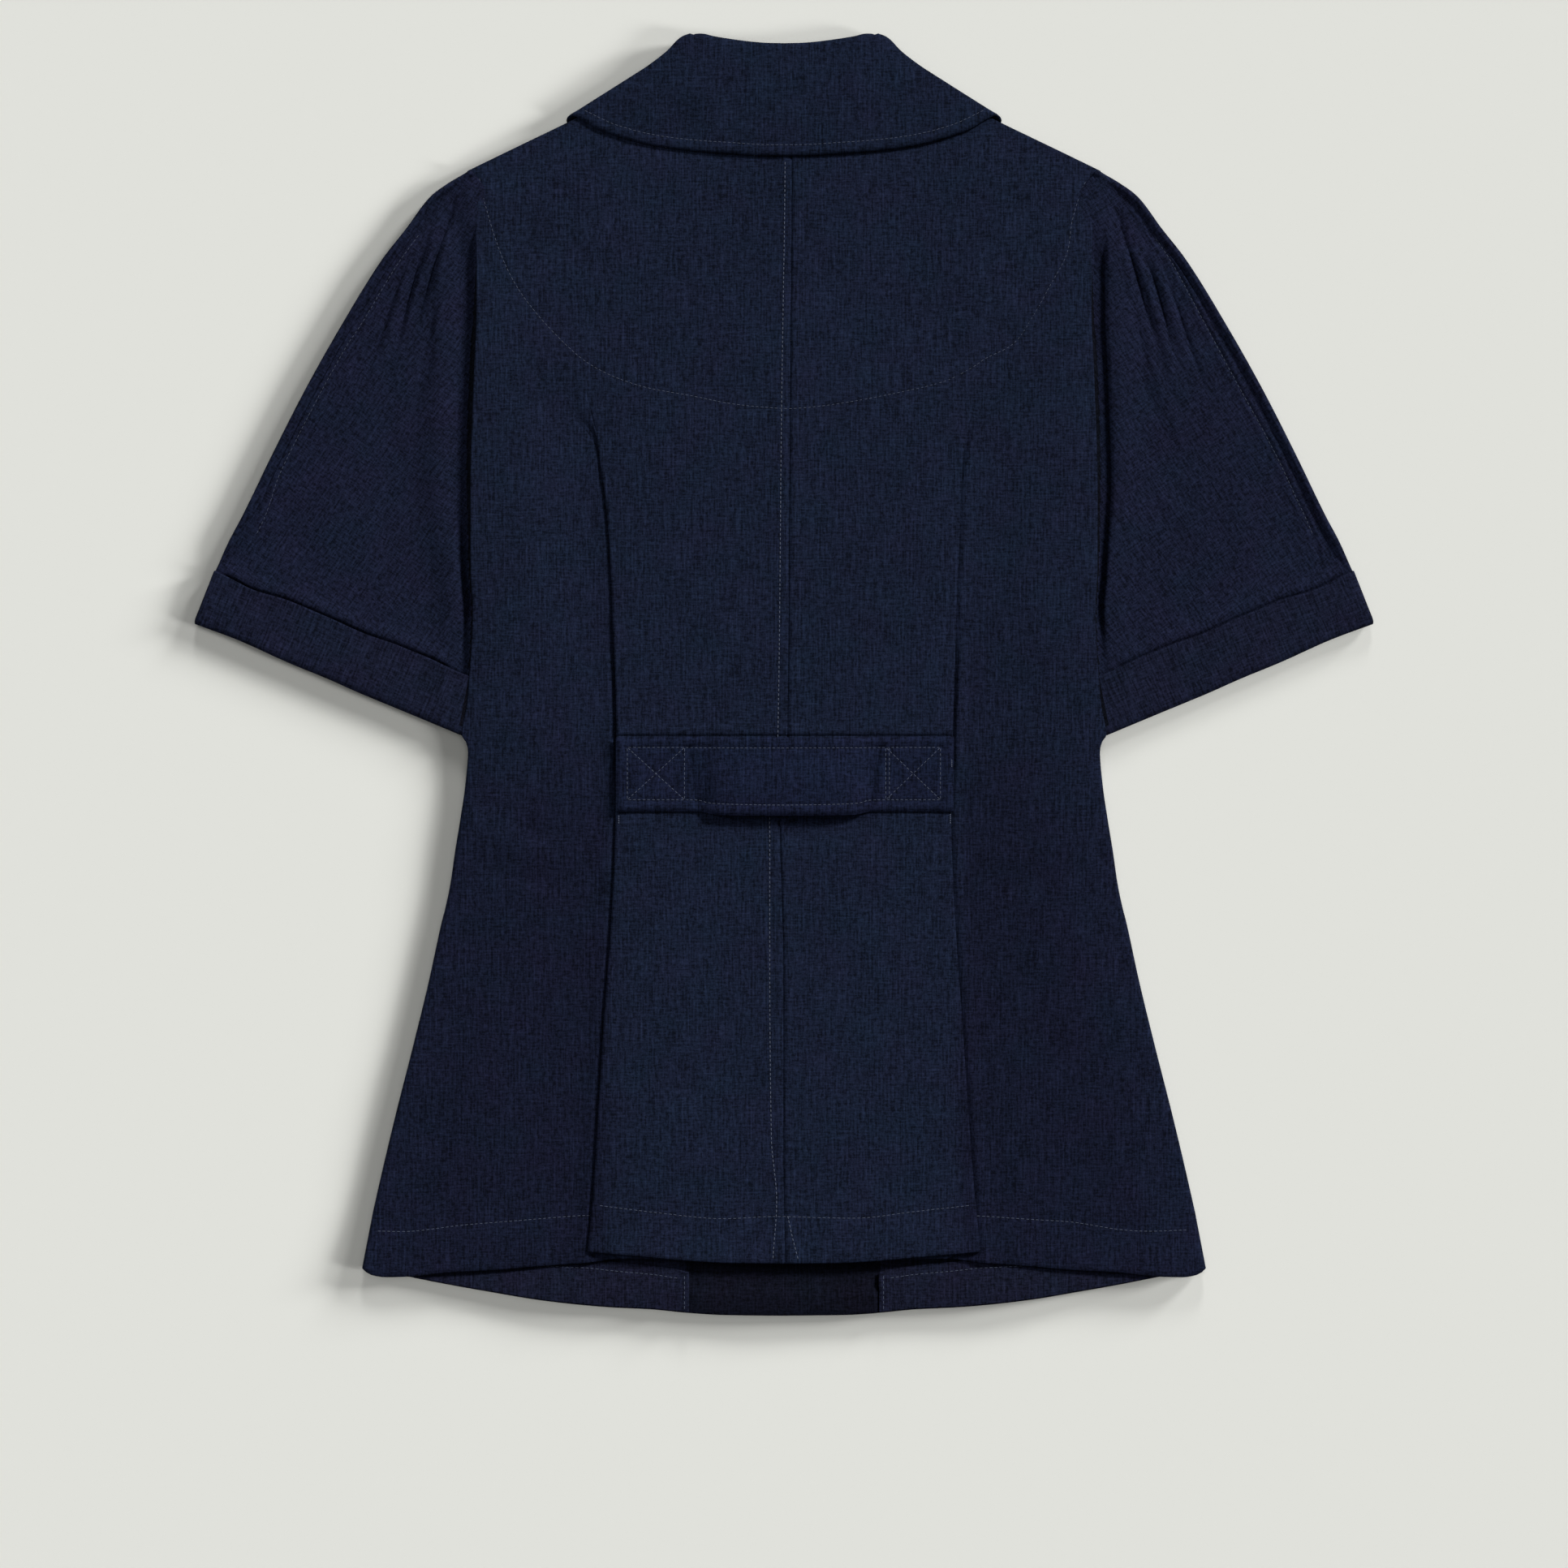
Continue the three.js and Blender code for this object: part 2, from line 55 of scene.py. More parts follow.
# level, fold edge left, fold edge right, depth, centre, side, edge heights
PLEAT = [
    (284.5, 114, 111, 0, 6.4, 6.1, 5.4), (251, 113, 110, 0, 6.8, 6.6, 6.8), (229, 112.5, 109.5, 0, 6.9, 6.8, 7.8),
    (196, 111.5, 108.5, 0, 7.1, 6.9, 8.2), (172, 110.5, 107.5, 0, 7.3, 6.6, 8.3), (152, 107.8, 105.2, 1, 7.6, 5.5, 8.3),
    (138, 106.1, 103.2, 4, 7.9, 4.8, 8.3), (118, 103.6, 100.8, 7, 8.1, 4.5, 8.3), (104, 101.4, 100, 9, 8.2, 4.3, 8.3),
    (70, 98.4, 98.8, 14, 8.3, 4.3, 8.4), (31, 96.7, 97.2, 20, 8.3, 4.3, 8.3), (-5, 95.2, 96.2, 24, 8.3, 4.3, 7.5),
    (-33, 94.6, 95.3, 27, 8.3, 4.2, 6.8), (-46, 94.7, 95, 28, 8.3, 4.2, 6.0), (-64, 94.9, 94.7, 28, 8.3, 4.2, 5.5),
    (-82, 95.1, 94.4, 28, 8.4, 4.2, 5.5), (-137, 97.4, 96.6, 32, 8.5, 4.0, 5.3), (-200, 102, 100.9, 38, 8.4, 3.8, 5.3),
    (-262, 105.8, 105.2, 43, 8.3, 3.8, 5.3), (-305, 108.5, 108.5, 46, 8.2, 3.7, 5.2), (-345, 111.4, 111.6, 49, 8.0, 3.6, 5.0)]
CB_SEAM = [(340, 5.0), (293, 4.7), (152, 3.4), (-34, 2.0), (-82, -2.2), (-170, -0.3), (-262, -0.3), (-345, 1.0)]
CB_STITCH = [(340, 0.8), (293, 0.6), (152, -1.4), (-34, -3.5), (-82, -8.1), (-170, -8.1), (-262, -7.2), (-298, -4.2), (-330, -6.3)]
BACK_HEM_C = [(-2, -333), (30, -332.7), (54, -331.4), (81, -329.0), (98, -327.6), (112, -326.4)]
BACK_HEM_S = [(55, -331), (92, -330.6), (110, -332.8), (142, -335.1), (163, -336.9), (190, -338.2), (214, -340.6),
              (226, -340.9), (234, -339.6), (239.6, -336)]
FRONT_HEM = [(0, -363.0), (33, -362.7), (54, -361.5), (74, -359.6), (98, -358.4), (120, -356.5), (142, -353.8),
             (166, -349.8), (190, -345.6), (214, -340.9), (239.4, -336)]
YOKE = [(-172.8, 282.0), (-169.6, 267.5), (-163.6, 247.2), (-156.3, 228.9), (-146.2, 212.3), (-129.6, 193.0),
        (-109.4, 175.5), (-82.7, 164.0), (-52.3, 158.0), (-28.9, 153.4), (-2.0, 150.9), (10.7, 151.2), (28.2, 153.2),
        (53, 157.5), (88.2, 165.4), (105.9, 173.7), (114.2, 179.2), (130.3, 187.9), (141.3, 203.6), (151, 221),
        (160.2, 238.5), (163.4, 257.6), (168.2, 273.5), (171.2, 280)]
SLEEVE = [  # outer edge x, y, hidden inner edge x, y
    (177.6, 286.0, 166, 272), (190.6, 278.4, 164.5, 262), (200.1, 271.3, 163, 252), (214.0, 253.0, 161, 234),
    (227.5, 235.7, 160.5, 217), (250.2, 199.1, 160, 182), (271.0, 162.2, 160, 148), (289.9, 125.1, 160, 111),
    (307.2, 89.5, 160, 60), (314.4, 76, 160, 40), (322.2, 58.8, 168.6, 0), (325.8, 51, 169.8, -9), (330.8, 33.4, 176, -33)]
CUFF = [(334.5, 29.4, 171.6, -38.9), (331.6, 36.5, 170, -32), (328.8, 43.6, 168.5, -24), (323.3, 57.6, 165, -6)]
COLLAR = [  # neck seam, roll line, leaf edge
    (0, 327.8, 6.4, 0, 357.2, 7.8, 0, 294.2, 9.3), (9, 328.0, 6.4, 9, 357.4, 7.8, 14.5, 294.4, 9.3),
    (18, 329, 6.4, 17.5, 358.0, 7.8, 30, 295.5, 9.3), (27, 331, 6.3, 26.4, 359.1, 7.7, 44.6, 296.5, 9.2),
    (36, 333.6, 6.2, 35, 360.4, 7.5, 58.8, 297.9, 9.1), (43, 336.5, 6.0, 41, 361.5, 7.3, 72, 299.8, 9.0),
    (48, 339, 5.9, 45.6, 362.7, 7.0, 84.1, 302.4, 8.8), (51, 341.4, 5.6, 48.2, 362.9, 6.8, 94.4, 305.5, 8.5),
    (53.2, 343.6, 5.2, 50.2, 362.9, 6.4, 104, 309.2, 8.1), (54.2, 345.4, 4.4, 51.9, 362.4, 5.4, 120.6, 318.0, 6.9),
    (54.6, 345.8, 3.4, 52.4, 361.2, 4.0, 123.7, 315.9, 3.9), (54.2, 345, 1.6, 51.8, 358.6, 1.1, 122.6, 312.2, 1.0),
    (53, 342, 0.7, 51.4, 346, 0.6, 116, 293, 0.6), (46.6, 328.6, 0.6, 46.9, 326.6, 0.6, 104, 270.4, 0.6)]
LAPEL = [(45.6, 324.2, 84, 288.3), (38, 308.7, 111, 258), (14, 261.5, 98, 214), (-12, 210.5, 62, 166),
         (-34, 167.3, 10, 141), (-50, 136, -42, 130.5)]
BELT_X0, BELT_X1, BELT_TOP, BELT_LOW = -94.6, 95.4, -35.7, -77.0
BELT_LIFT = [(-95, 0), (-64, 0), (-49, 0.0), (-45.5, 1.0), (-41, 4.6), (-36, 7.3), (-26, 8.2), (0, 8.4), (26, 8.0),
             (37, 7.2), (42, 4.8), (46, 1.2), (49, 0.0), (64, 0), (96, 0)]

# ------------------------------------------------------------------ helpers


def smooth(t):
    t = np.clip(t, 0.0, 1.0)
    return t * t * (3 - 2 * t)


def mix(a, b, t):
    return a + (b - a) * t


def curve(rows, col=1, key=0):
    """Smooth, overshoot-free curve through one column of a table."""
    pts = sorted((r[key], r[col]) for r in rows)
    x = np.array([p[0] for p in pts], float)
    y = np.array([p[1] for p in pts], float)
    h = np.diff(x)
    s = np.diff(y) / h
    m = np.zeros_like(y)
    w = s[:-1] * s[1:]
    m[1:-1] = np.where(w > 0, 2 * w / np.where(np.abs(s[:-1] + s[1:]) < 1e-9, 1e-9, s[:-1] + s[1:]), 0)
    m[0], m[-1] = s[0], s[-1]

    def f(q):
        q = np.clip(np.asarray(q, float), x[0], x[-1])
        i = np.clip(np.searchsorted(x, q) - 1, 0, len(h) - 1)
        t = (q - x[i]) / h[i]
        return ((1 + 2 * t) * (1 - t) ** 2 * y[i] + t * (1 - t) ** 2 * h[i] * m[i]
                + t * t * (3 - 2 * t) * y[i + 1] + t * t * (t - 1) * h[i] * m[i + 1])
    return f


def poly_dist(x, y, pts):
    """Distance of points to a polyline, and how far along it (0 to 1)."""
    pts = np.asarray(pts, float)
    seg = np.diff(pts, axis=0)
    ln = np.hypot(seg[:, 0], seg[:, 1])
    cum = np.concatenate([[0], np.cumsum(ln)])
    best = np.full(np.shape(x), 1e9)
    along = np.zeros(np.shape(x))
    side = np.zeros(np.shape(x))
    for k in range(len(seg)):
        dx, dy = seg[k] / max(ln[k], 1e-9)
        ax, ay = x - pts[k, 0], y - pts[k, 1]
        t = np.clip(ax * dx + ay * dy, 0, ln[k])
        ex, ey = ax - t * dx, ay - t * dy
        d = np.hypot(ex, ey)
        hit = d < best
        best = np.where(hit, d, best)
        along = np.where(hit, (cum[k] + t) / cum[-1], along)
        side = np.where(hit, np.sign(dx * ay - dy * ax), side)
    return best, along, side


def bend(pts, n=12):
    """Smooth polyline through a few points."""
    pts = np.asarray(pts, float)
    if len(pts) < 3:
        return pts
    out = []
    P = np.vstack([2 * pts[0] - pts[1], pts, 2 * pts[-1] - pts[-2]])
    for k in range(1, len(P) - 2):
        for t in np.linspace(0, 1, n, endpoint=False):
            a, b, c, d = P[k - 1], P[k], P[k + 1], P[k + 2]
            out.append(0.5 * ((2 * b) + (c - a) * t + (2 * a - 5 * b + 4 * c - d) * t * t + (3 * b - a - 3 * c + d) * t ** 3))
    out.append(P[-2])
    return np.array(out)


def folds(x, y, table):
    """Listed creases: each row is (height, width, fade, points). A height below 0 is a trough, above 0 a ridge; fade 0
    keeps the ends full."""
    z = np.zeros(np.shape(x))
    for height, width, fade, pts in table:
        b = bend(pts, 6)
        near = (x > b[:, 0].min() - 4 * width) & (x < b[:, 0].max() + 4 * width) & (y > b[:, 1].min() - 4 * width) & (y < b[:, 1].max() + 4 * width)
        if not near.any():
            continue
        d, a, _ = poly_dist(x[near], y[near], b)
        env = 1.0 if fade == 0 else np.sin(np.pi * np.clip(a, 0.001, 0.999)) ** fade
        z[near] += height * env * np.exp(-(d / width) ** 2)
    return z


def value_noise(x, y, cell, seed):
    """Soft seeded noise in -1..1 with the given cell size."""
    r = np.random.default_rng(seed).uniform(-1, 1, (97, 97))
    u, v = np.asarray(x) / cell + 40.37, np.asarray(y) / cell + 40.11
    iu, iv = np.floor(u).astype(int), np.floor(v).astype(int)
    fu, fv = smooth(u - iu), smooth(v - iv)
    g = lambda a, b: r[a % 97, b % 97]
    return mix(mix(g(iu, iv), g(iu + 1, iv), fu), mix(g(iu, iv + 1), g(iu + 1, iv + 1), fu), fv)


MATS = {}
PIECES = {}


def make_mesh(name, verts, quads, uv, mats, face_mat=None):
    me = bpy.data.meshes.new(name)
    me.vertices.add(len(verts))
    me.vertices.foreach_set("co", (np.asarray(verts) * MM).astype(np.float32).ravel())
    q = np.asarray(quads, np.int32)
    me.loops.add(q.size)
    me.loops.foreach_set("vertex_index", q.ravel())
    me.polygons.add(len(q))
    me.polygons.foreach_set("loop_start", np.arange(0, q.size, q.shape[1], dtype=np.int32))
    me.polygons.foreach_set("loop_total", np.full(len(q), q.shape[1], np.int32))
    me.polygons.foreach_set("use_smooth", np.ones(len(q), bool))
    if uv is not None:
        lay = me.uv_layers.new(name="cloth")
        lay.data.foreach_set("uv", (np.asarray(uv)[q.ravel()] * MM).astype(np.float32).ravel())
    for m in mats:
        me.materials.append(m)
    if face_mat is not None:
        me.polygons.foreach_set("material_index", np.asarray(face_mat, np.int32))
    me.update(calc_edges=True)
    me.validate()
    ob = bpy.data.objects.new(name, me)
    bpy.context.scene.collection.objects.link(ob)
    return ob


def shell(name, P, t, uv, mat, ring=False):
    """Closed shell of thickness t about a grid of mid-surface points (mm)."""
    P = np.asarray(P, float)
    R, C, _ = P.shape
    if ring:
        ext = np.concatenate([P[:, -1:], P, P[:, :1]], axis=1)
        dv = ext[:, 2:] - ext[:, :-2]
    else:
        dv = np.gradient(P, axis=1)
    du = np.gradient(P, axis=0)
    n = np.cross(du, dv)
    n /= np.maximum(np.linalg.norm(n, axis=2, keepdims=True), 1e-9)
    t = np.broadcast_to(np.asarray(t, float), (R, C))[..., None]
    A = (P + n * t / 2).reshape(-1, 3)
    B = (P - n * t / 2).reshape(-1, 3)
    idx = np.arange(R * C).reshape(R, C)
    if ring:
        nxt = np.roll(idx, -1, axis=1)
        a, b, c, d = idx[:-1], idx[1:], nxt[1:], nxt[:-1]
    else:
        a, b, c, d = idx[:-1, :-1], idx[1:, :-1], idx[1:, 1:], idx[:-1, 1:]
    top = np.stack([a, b, c, d], axis=-1).reshape(-1, 4)
    N = R * C
    quads = [top, top[:, ::-1] + N]
    verts = [A, B]
    uvf = np.asarray(uv, float).reshape(-1, 2)
    uvs = [uvf, uvf]
    base = 2 * N

    def rim(loop, inner, closed):
        nonlocal base
        out = P.reshape(-1, 3)[loop] - P.reshape(-1, 3)[inner]
        out /= np.maximum(np.linalg.norm(out, axis=1, keepdims=True), 1e-9)
        m = P.reshape(-1, 3)[loop] + out * t.reshape(-1, 1)[loop] * 0.42
        ids = base + np.arange(len(loop))
        base += len(loop)
        verts.append(m)
        uvs.append(uvf[loop])
        k = np.arange(len(loop) if closed else len(loop) - 1)
        k2 = (k + 1) % len(loop)
        quads.append(np.stack([loop[k], loop[k2], ids[k2], ids[k]], axis=-1))
        quads.append(np.stack([ids[k], ids[k2], loop[k2] + N, loop[k] + N], axis=-1))
    if ring:
        rim(idx[0], idx[1], True)
        rim(idx[-1][::-1], idx[-2][::-1], True)
    else:
        loop = np.concatenate([idx[0, :], idx[1:, -1], idx[-1, -2::-1], idx[-2:0:-1, 0]])
        inner = np.concatenate([idx[1, :], idx[1:, -2], idx[-2, -2::-1], idx[-2:0:-1, 1]])
        inner[0], inner[C - 1] = idx[1, 1], idx[1, -2]
        inner[C - 1 + R - 1], inner[C - 1 + R - 1 + C - 1] = idx[-2, -2], idx[-2, 1]
        rim(loop, inner, True)
    ob = make_mesh(name, np.concatenate(verts), np.concatenate(quads), np.concatenate(uvs), [mat])
    across = np.linalg.norm(np.diff(P, axis=1), axis=2).sum(axis=1).max()
    down = np.linalg.norm(np.diff(P, axis=0), axis=2).sum(axis=0).max()
    print('SIZE', name, round(across), round(down))
    PIECES[name] = ob
    return ob


_trees = {}


def tree(ob):
    if ob.name not in _trees:
        me = ob.data
        co = np.zeros(len(me.vertices) * 3, np.float32)
        me.vertices.foreach_get("co", co)
        polys = [tuple(p.vertices) for p in me.polygons]
        _trees[ob.name] = BVHTree.FromPolygons([Vector(v) for v in co.reshape(-1, 3)], polys)
    return _trees[ob.name]


def drop(obs, x, y, up=True):
    """Height in mm of the first of some pieces met from above (or below)."""
    best = None
    for ob in obs:
        hit = tree(ob).ray_cast(Vector((x * MM, y * MM, 0.08 if up else -0.02)), Vector((0, 0, -1 if up else 1)))
        if hit[0] is not None:
            z = hit[0].z / MM
            best = z if best is None else (max(best, z) if up else min(best, z))
    return best


def stitches(name, lines, onto, mat, pitch=2.6, fill=0.66, r=0.19, up=True, body="root", sink=0.06):
    """Rows of thread: each stitch is a small rounded bar that dips in at both ends."""
    verts, quads = [], []
    ring = 6
    prof = [(-0.5, 0.35, -0.25), (-0.36, 0.9, -0.02), (0.0, 1.0, 0.07), (0.36, 0.9, -0.02), (0.5, 0.35, -0.25)]
    for pts in lines:
        b = bend(pts, 10)
        seg = np.hypot(*np.diff(b, axis=0).T)
        cum = np.concatenate([[0], np.cumsum(seg)])
        n = max(1, int(round(cum[-1] / pitch)))
        step = cum[-1] / n
        for k in range(n):
            s0 = (k + 0.5) * step + rng.uniform(-0.12, 0.12)
            half = step * fill * rng.uniform(0.92, 1.06)
            c = [np.interp(s0 + f * half, cum, b[:, i]) for f in (-0.5, 0.5) for i in (0, 1)]
            z0, z1 = drop(onto, c[0], c[1], up), drop(onto, c[2], c[3], up)
            if z0 is None or z1 is None or abs(z0 - z1) > 1.6:
                continue
            d = np.array([c[2] - c[0], c[3] - c[1], z1 - z0])
            ln = np.linalg.norm(d)
            d /= max(ln, 1e-9)
            w = np.array([-d[1], d[0], 0.0])
            w /= max(np.linalg.norm(w), 1e-9)
            h = np.cross(d, w)
            if (h[2] < 0) == up:
                h = -h
            mid = np.array([(c[0] + c[2]) / 2, (c[1] + c[3]) / 2, (z0 + z1) / 2]) + h * (r * 0.55 - sink)
            base = len(verts)
            for f, rad, lift in prof:
                cc = mid + d * f * ln + h * lift * 1.6 * r
                for a in range(ring):
                    an = 2 * math.pi * a / ring
                    verts.append(cc + (w * math.cos(an) + h * math.sin(an) * 0.8) * r * rad)
            for i in range(len(prof) - 1):
                for a in range(ring):
                    a2 = (a + 1) % ring
                    quads.append((base + i * ring + a, base + i * ring + a2, base + (i + 1) * ring + a2, base + (i + 1) * ring + a))
            for e in (0, (len(prof) - 1) * ring):
                o = [base + e + a for a in range(ring)]
                if e == 0:
                    o = o[::-1]
                quads.append((o[0], o[1], o[2], o[3]))
                quads.append((o[3], o[4], o[5], o[0]))
    ob = make_mesh(name, np.array(verts), np.array(quads), np.array(verts)[:, :2], [mat])
    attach(ob, body)
    PIECES[name] = ob
    return ob


# ---------------------------------------------------------------- materials


def lin(c):
    return tuple((v / 255 / 12.92) if v / 255 <= 0.04045 else ((v / 255 + 0.055) / 1.055) ** 2.4 for v in c)


def linen(name, rgb, angle=0.0, contrast=0.89, bump=0.12, slub=0.86, rough=0.95, spec=0.05, sheen=0.0, pleat_shade=False):
    """Plain-weave linen: crossing threads of uneven thickness, slubs, soft mottling. The weave runs along the 'cloth'
    UV map, turned by angle. The last option paints shade into the colour of the back's side panels, darkest beside the
    pleat folds and below the waist."""
    m = bpy.data.materials.new(name)
    m.use_nodes = True
    nt = m.node_tree
    N, L = nt.nodes, nt.links
    bsdf = N["Principled BSDF"]
    bsdf.inputs["Roughness"].default_value = rough
    bsdf.inputs["Specular IOR Level"].default_value = spec
    bsdf.inputs["Sheen Weight"].default_value = sheen
    bsdf.inputs["Sheen Roughness"].default_value = 0.5
    bsdf.inputs["Sheen Tint"].default_value = (0.55, 0.62, 0.85, 1)
    uv = N.new("ShaderNodeUVMap")
    uv.uv_map = "cloth"
    rot = N.new("ShaderNodeMapping")
    rot.inputs["Rotation"].default_value = (0, 0, angle)
    L.new(uv.outputs[0], rot.inputs[0])

    def noise(sx, sy, detail, rough_, off, dist=0.0):
        mp = N.new("ShaderNodeMapping")
        mp.inputs["Scale"].default_value = (sx, sy, 1)
        mp.inputs["Location"].default_value = (off, off * 1.7, 0)
        L.new(rot.outputs[0], mp.inputs[0])
        t = N.new("ShaderNodeTexNoise")
        t.noise_dimensions = "2D"
        t.inputs["Scale"].default_value = 1.0
        t.inputs["Detail"].default_value = detail
        t.inputs["Roughness"].default_value = rough_
        t.inputs["Distortion"].default_value = dist
        L.new(mp.outputs[0], t.inputs[0])
        return t.outputs[0]

    def math_(op, a, b=None, c=None, clamp=False):
        n = N.new("ShaderNodeMath")
        n.operation = op
        n.use_clamp = clamp
        for i, v in enumerate((a, b, c)):
            if v is None:
                continue
            if isinstance(v, (int, float)):
                n.inputs[i].default_value = v
            else:
                L.new(v, n.inputs[i])
        return n.outputs[0]

    def centred(sock, gain):
        return math_("MULTIPLY", math_("SUBTRACT", sock, 0.5), gain)

    warp = noise(850, 300, 1.0, 0.5, 3.1)        # threads running down
    weft = noise(330, 950, 1.0, 0.5, 11.3)       # threads running across
    grain = noise(1350, 1350, 0.0, 0.5, 5.7)
    long_v = noise(950, 48, 1.0, 0.5, 29.0)
    long_h = noise(75, 950, 1.0, 0.5, 37.0)
    blotch = noise(130, 130, 2.0, 0.6, 23.0)
    wide = noise(14, 14, 1.0, 0.5, 41.0)
    cloth = math_("ADD", centred(warp, 1.5), centred(weft, 1.35))
    weave = math_("ADD", cloth, centred(grain, 0.8))
    sl = math_("ADD", centred(long_v, 1.45 * slub), centred(long_h, 0.95 * slub))
    knots = math_("ADD", math_("MULTIPLY", math_("SUBTRACT", long_v, 0.69, clamp=True), 1.6 * slub),
                  math_("MULTIPLY", math_("SUBTRACT", long_h, 0.69, clamp=True), 1.3 * slub))
    tone = math_("ADD", math_("MULTIPLY", weave, contrast), math_("ADD", sl, knots))
    tone = math_("ADD", tone, centred(blotch, 0.16 * contrast))
    tone = math_("ADD", tone, centred(wide, 0.2))
    gain = math_("MAXIMUM", math_("ADD", tone, 1.0), 0.38)
    col = N.new("ShaderNodeMix")
    col.data_type = "RGBA"
    col.blend_type = "MULTIPLY"
    col.inputs["Factor"].default_value = 1.0
    col.inputs[6].default_value = (*lin(rgb), 1)
    hue = centred(noise(34, 34, 2.0, 0.6, 53.0), 1.0)   # threads dyed a little unevenly
    comb = N.new("ShaderNodeCombineColor")
    for i, k in enumerate((0.34, -0.16, 0.0)):
        L.new(math_("MULTIPLY", gain, math_("ADD", math_("MULTIPLY", hue, k), 1.0)) if k else gain, comb.inputs[i])
    L.new(comb.outputs[0], col.inputs[7])
    # painted shade: the side panels are darkened in place of the shadow there, most next to the pleat folds and below
    # the waist
    if pleat_shade:
        tc = N.new("ShaderNodeTexCoord")
        xyz = N.new("ShaderNodeSeparateXYZ")
        L.new(tc.outputs["Object"], xyz.inputs[0])

        def ramp(sock, a, b):
            r = N.new("ShaderNodeMapRange")
            r.interpolation_type = "SMOOTHSTEP"
            r.inputs[1].default_value = a
            r.inputs[2].default_value = b
            L.new(sock, r.inputs[0])
            return r.outputs[0]
        ax = math_("ABSOLUTE", xyz.outputs[0])
        slant = math_("ADD", ax, math_("MULTIPLY", xyz.outputs[1], 0.22))        # follows the flare
        near = math_("SUBTRACT", 1.25, math_("MULTIPLY", ramp(slant, 0.105, 0.17), 0.62))
        low = math_("ADD", math_("MULTIPLY", ramp(xyz.outputs[1], -0.02, -0.10), 0.78), math_("MULTIPLY", ramp(xyz.outputs[1], 0.12, 0.03), 0.22))
        painted_shade_mask = math_("MULTIPLY", math_("MULTIPLY", ramp(ax, 0.094, 0.108), near), low)
        sh = N.new("ShaderNodeMix")
        sh.data_type = "RGBA"
        sh.blend_type = "MULTIPLY"
        # colour of the painted shade on the side panels
        sh.inputs[7].default_value = (0.84, 0.735, 0.795, 1)
        L.new(painted_shade_mask, sh.inputs[0])
        L.new(col.outputs[2], sh.inputs[6])
        col = sh
    L.new(col.outputs[2], bsdf.inputs["Base Color"])
    h = math_("ADD", weave, sl)
    bp = N.new("ShaderNodeBump")
    bp.inputs["Strength"].default_value = bump
    bp.inputs["Distance"].default_value = 0.0004
    L.new(h, bp.inputs["Height"])
    L.new(bp.outputs[0], bsdf.inputs["Normal"])
    MATS[name] = m
    return m


def plain(name, rgb, rough=0.5, spec=0.4, bump=0.0, scale=900):
    m = bpy.data.materials.new(name)
    m.use_nodes = True
    N, L = m.node_tree.nodes, m.node_tree.links
    b = N["Principled BSDF"]
    b.inputs["Roughness"].default_value = rough
    b.inputs["Specular IOR Level"].default_value = spec
    tc = N.new("ShaderNodeTexCoord")
    t = N.new("ShaderNodeTexNoise")
    t.inputs["Scale"].default_value = scale
    t.inputs["Detail"].default_value = 3
    L.new(tc.outputs["Object"], t.inputs[0])
    ramp = N.new("ShaderNodeValToRGB")
    c = lin(rgb)
    ramp.color_ramp.elements[0].color = (*[v * 0.86 for v in c], 1)
    ramp.color_ramp.elements[1].color = (*[v * 1.14 for v in c], 1)
    L.new(t.outputs[0], ramp.inputs[0])
    L.new(ramp.outputs[0], b.inputs["Base Color"])
    if bump:
        bp = N.new("ShaderNodeBump")
        bp.inputs["Strength"].default_value = bump
        bp.inputs["Distance"].default_value = 0.0002
        L.new(t.outputs[0], bp.inputs["Height"])
        L.new(bp.outputs[0], b.inputs["Normal"])
    MATS[name] = m
    return m


# the back carries painted shade on its side panels beside the pleats
M_BACK = linen("linen_back", (21.5, 28, 45.8), pleat_shade=True)
M_SIDE = M_BACK
M_FRONT = linen("linen_front", (21.5, 27.2, 43.6))
M_SLEEVE_R = linen("linen_sleeve_r", (21.5, 25.9, 44.1), angle=math.radians(-34), slub=0.62, contrast=1.04)
M_SLEEVE_L = linen("linen_sleeve_l", (21.5, 25.9, 44.1), angle=math.radians(34), slub=0.62, contrast=1.04)
M_CUFF_R = linen("linen_cuff_r", (22.0, 25.8, 43.3), angle=math.radians(-23))
M_CUFF_L = linen("linen_cuff_l", (22.0, 25.8, 43.3), angle=math.radians(23))
M_COLLAR = linen("linen_collar", (20.4, 27.3, 44.8))
M_BELT = linen("linen_belt", (19.9, 25.4, 44.6))
M_INSIDE = linen("linen_inside", (20.7, 23.2, 39.2))
# painted shade: darker cloth for the recess between the front hem strips, in place of the shadow under the back's hem
M_RECESS_SHADE = linen("linen_front_recess_painted_shade", (12.2, 13.9, 25.0))
# painted shade: near-black cloth for the crevices beside the body's edge
M_CREVICE_SHADE_L = linen("linen_crevice_painted_shade_left", (9, 11, 19), angle=math.radians(34))
M_CREVICE_SHADE_R = linen("linen_crevice_painted_shade_right", (9, 11, 19), angle=math.radians(-34))
M_THREAD = plain("thread", (76, 83, 100), rough=0.75, spec=0.15, bump=0.3, scale=2500)
M_BUTTON = plain("button", (18, 21, 33), rough=0.35, spec=0.5, bump=0.05, scale=260)

# -------------------------------------------------- heights of front layers


def outside(poly, x, y):
    d = np.full(np.shape(x), -1e9)
    for i in range(len(poly)):
        ax, ay = poly[i]
        bx, by = poly[(i + 1) % len(poly)]
        ex, ey = bx - ax, by - ay
        d = np.maximum(d, ((x - ax) * ey - (y - ay) * ex) / math.hypot(ex, ey))
    return np.maximum(0, d)


def cover(poly, x, y, near=14, far=40):
    return 1 - smooth((outside(poly, x, y) - near) / (far - near))


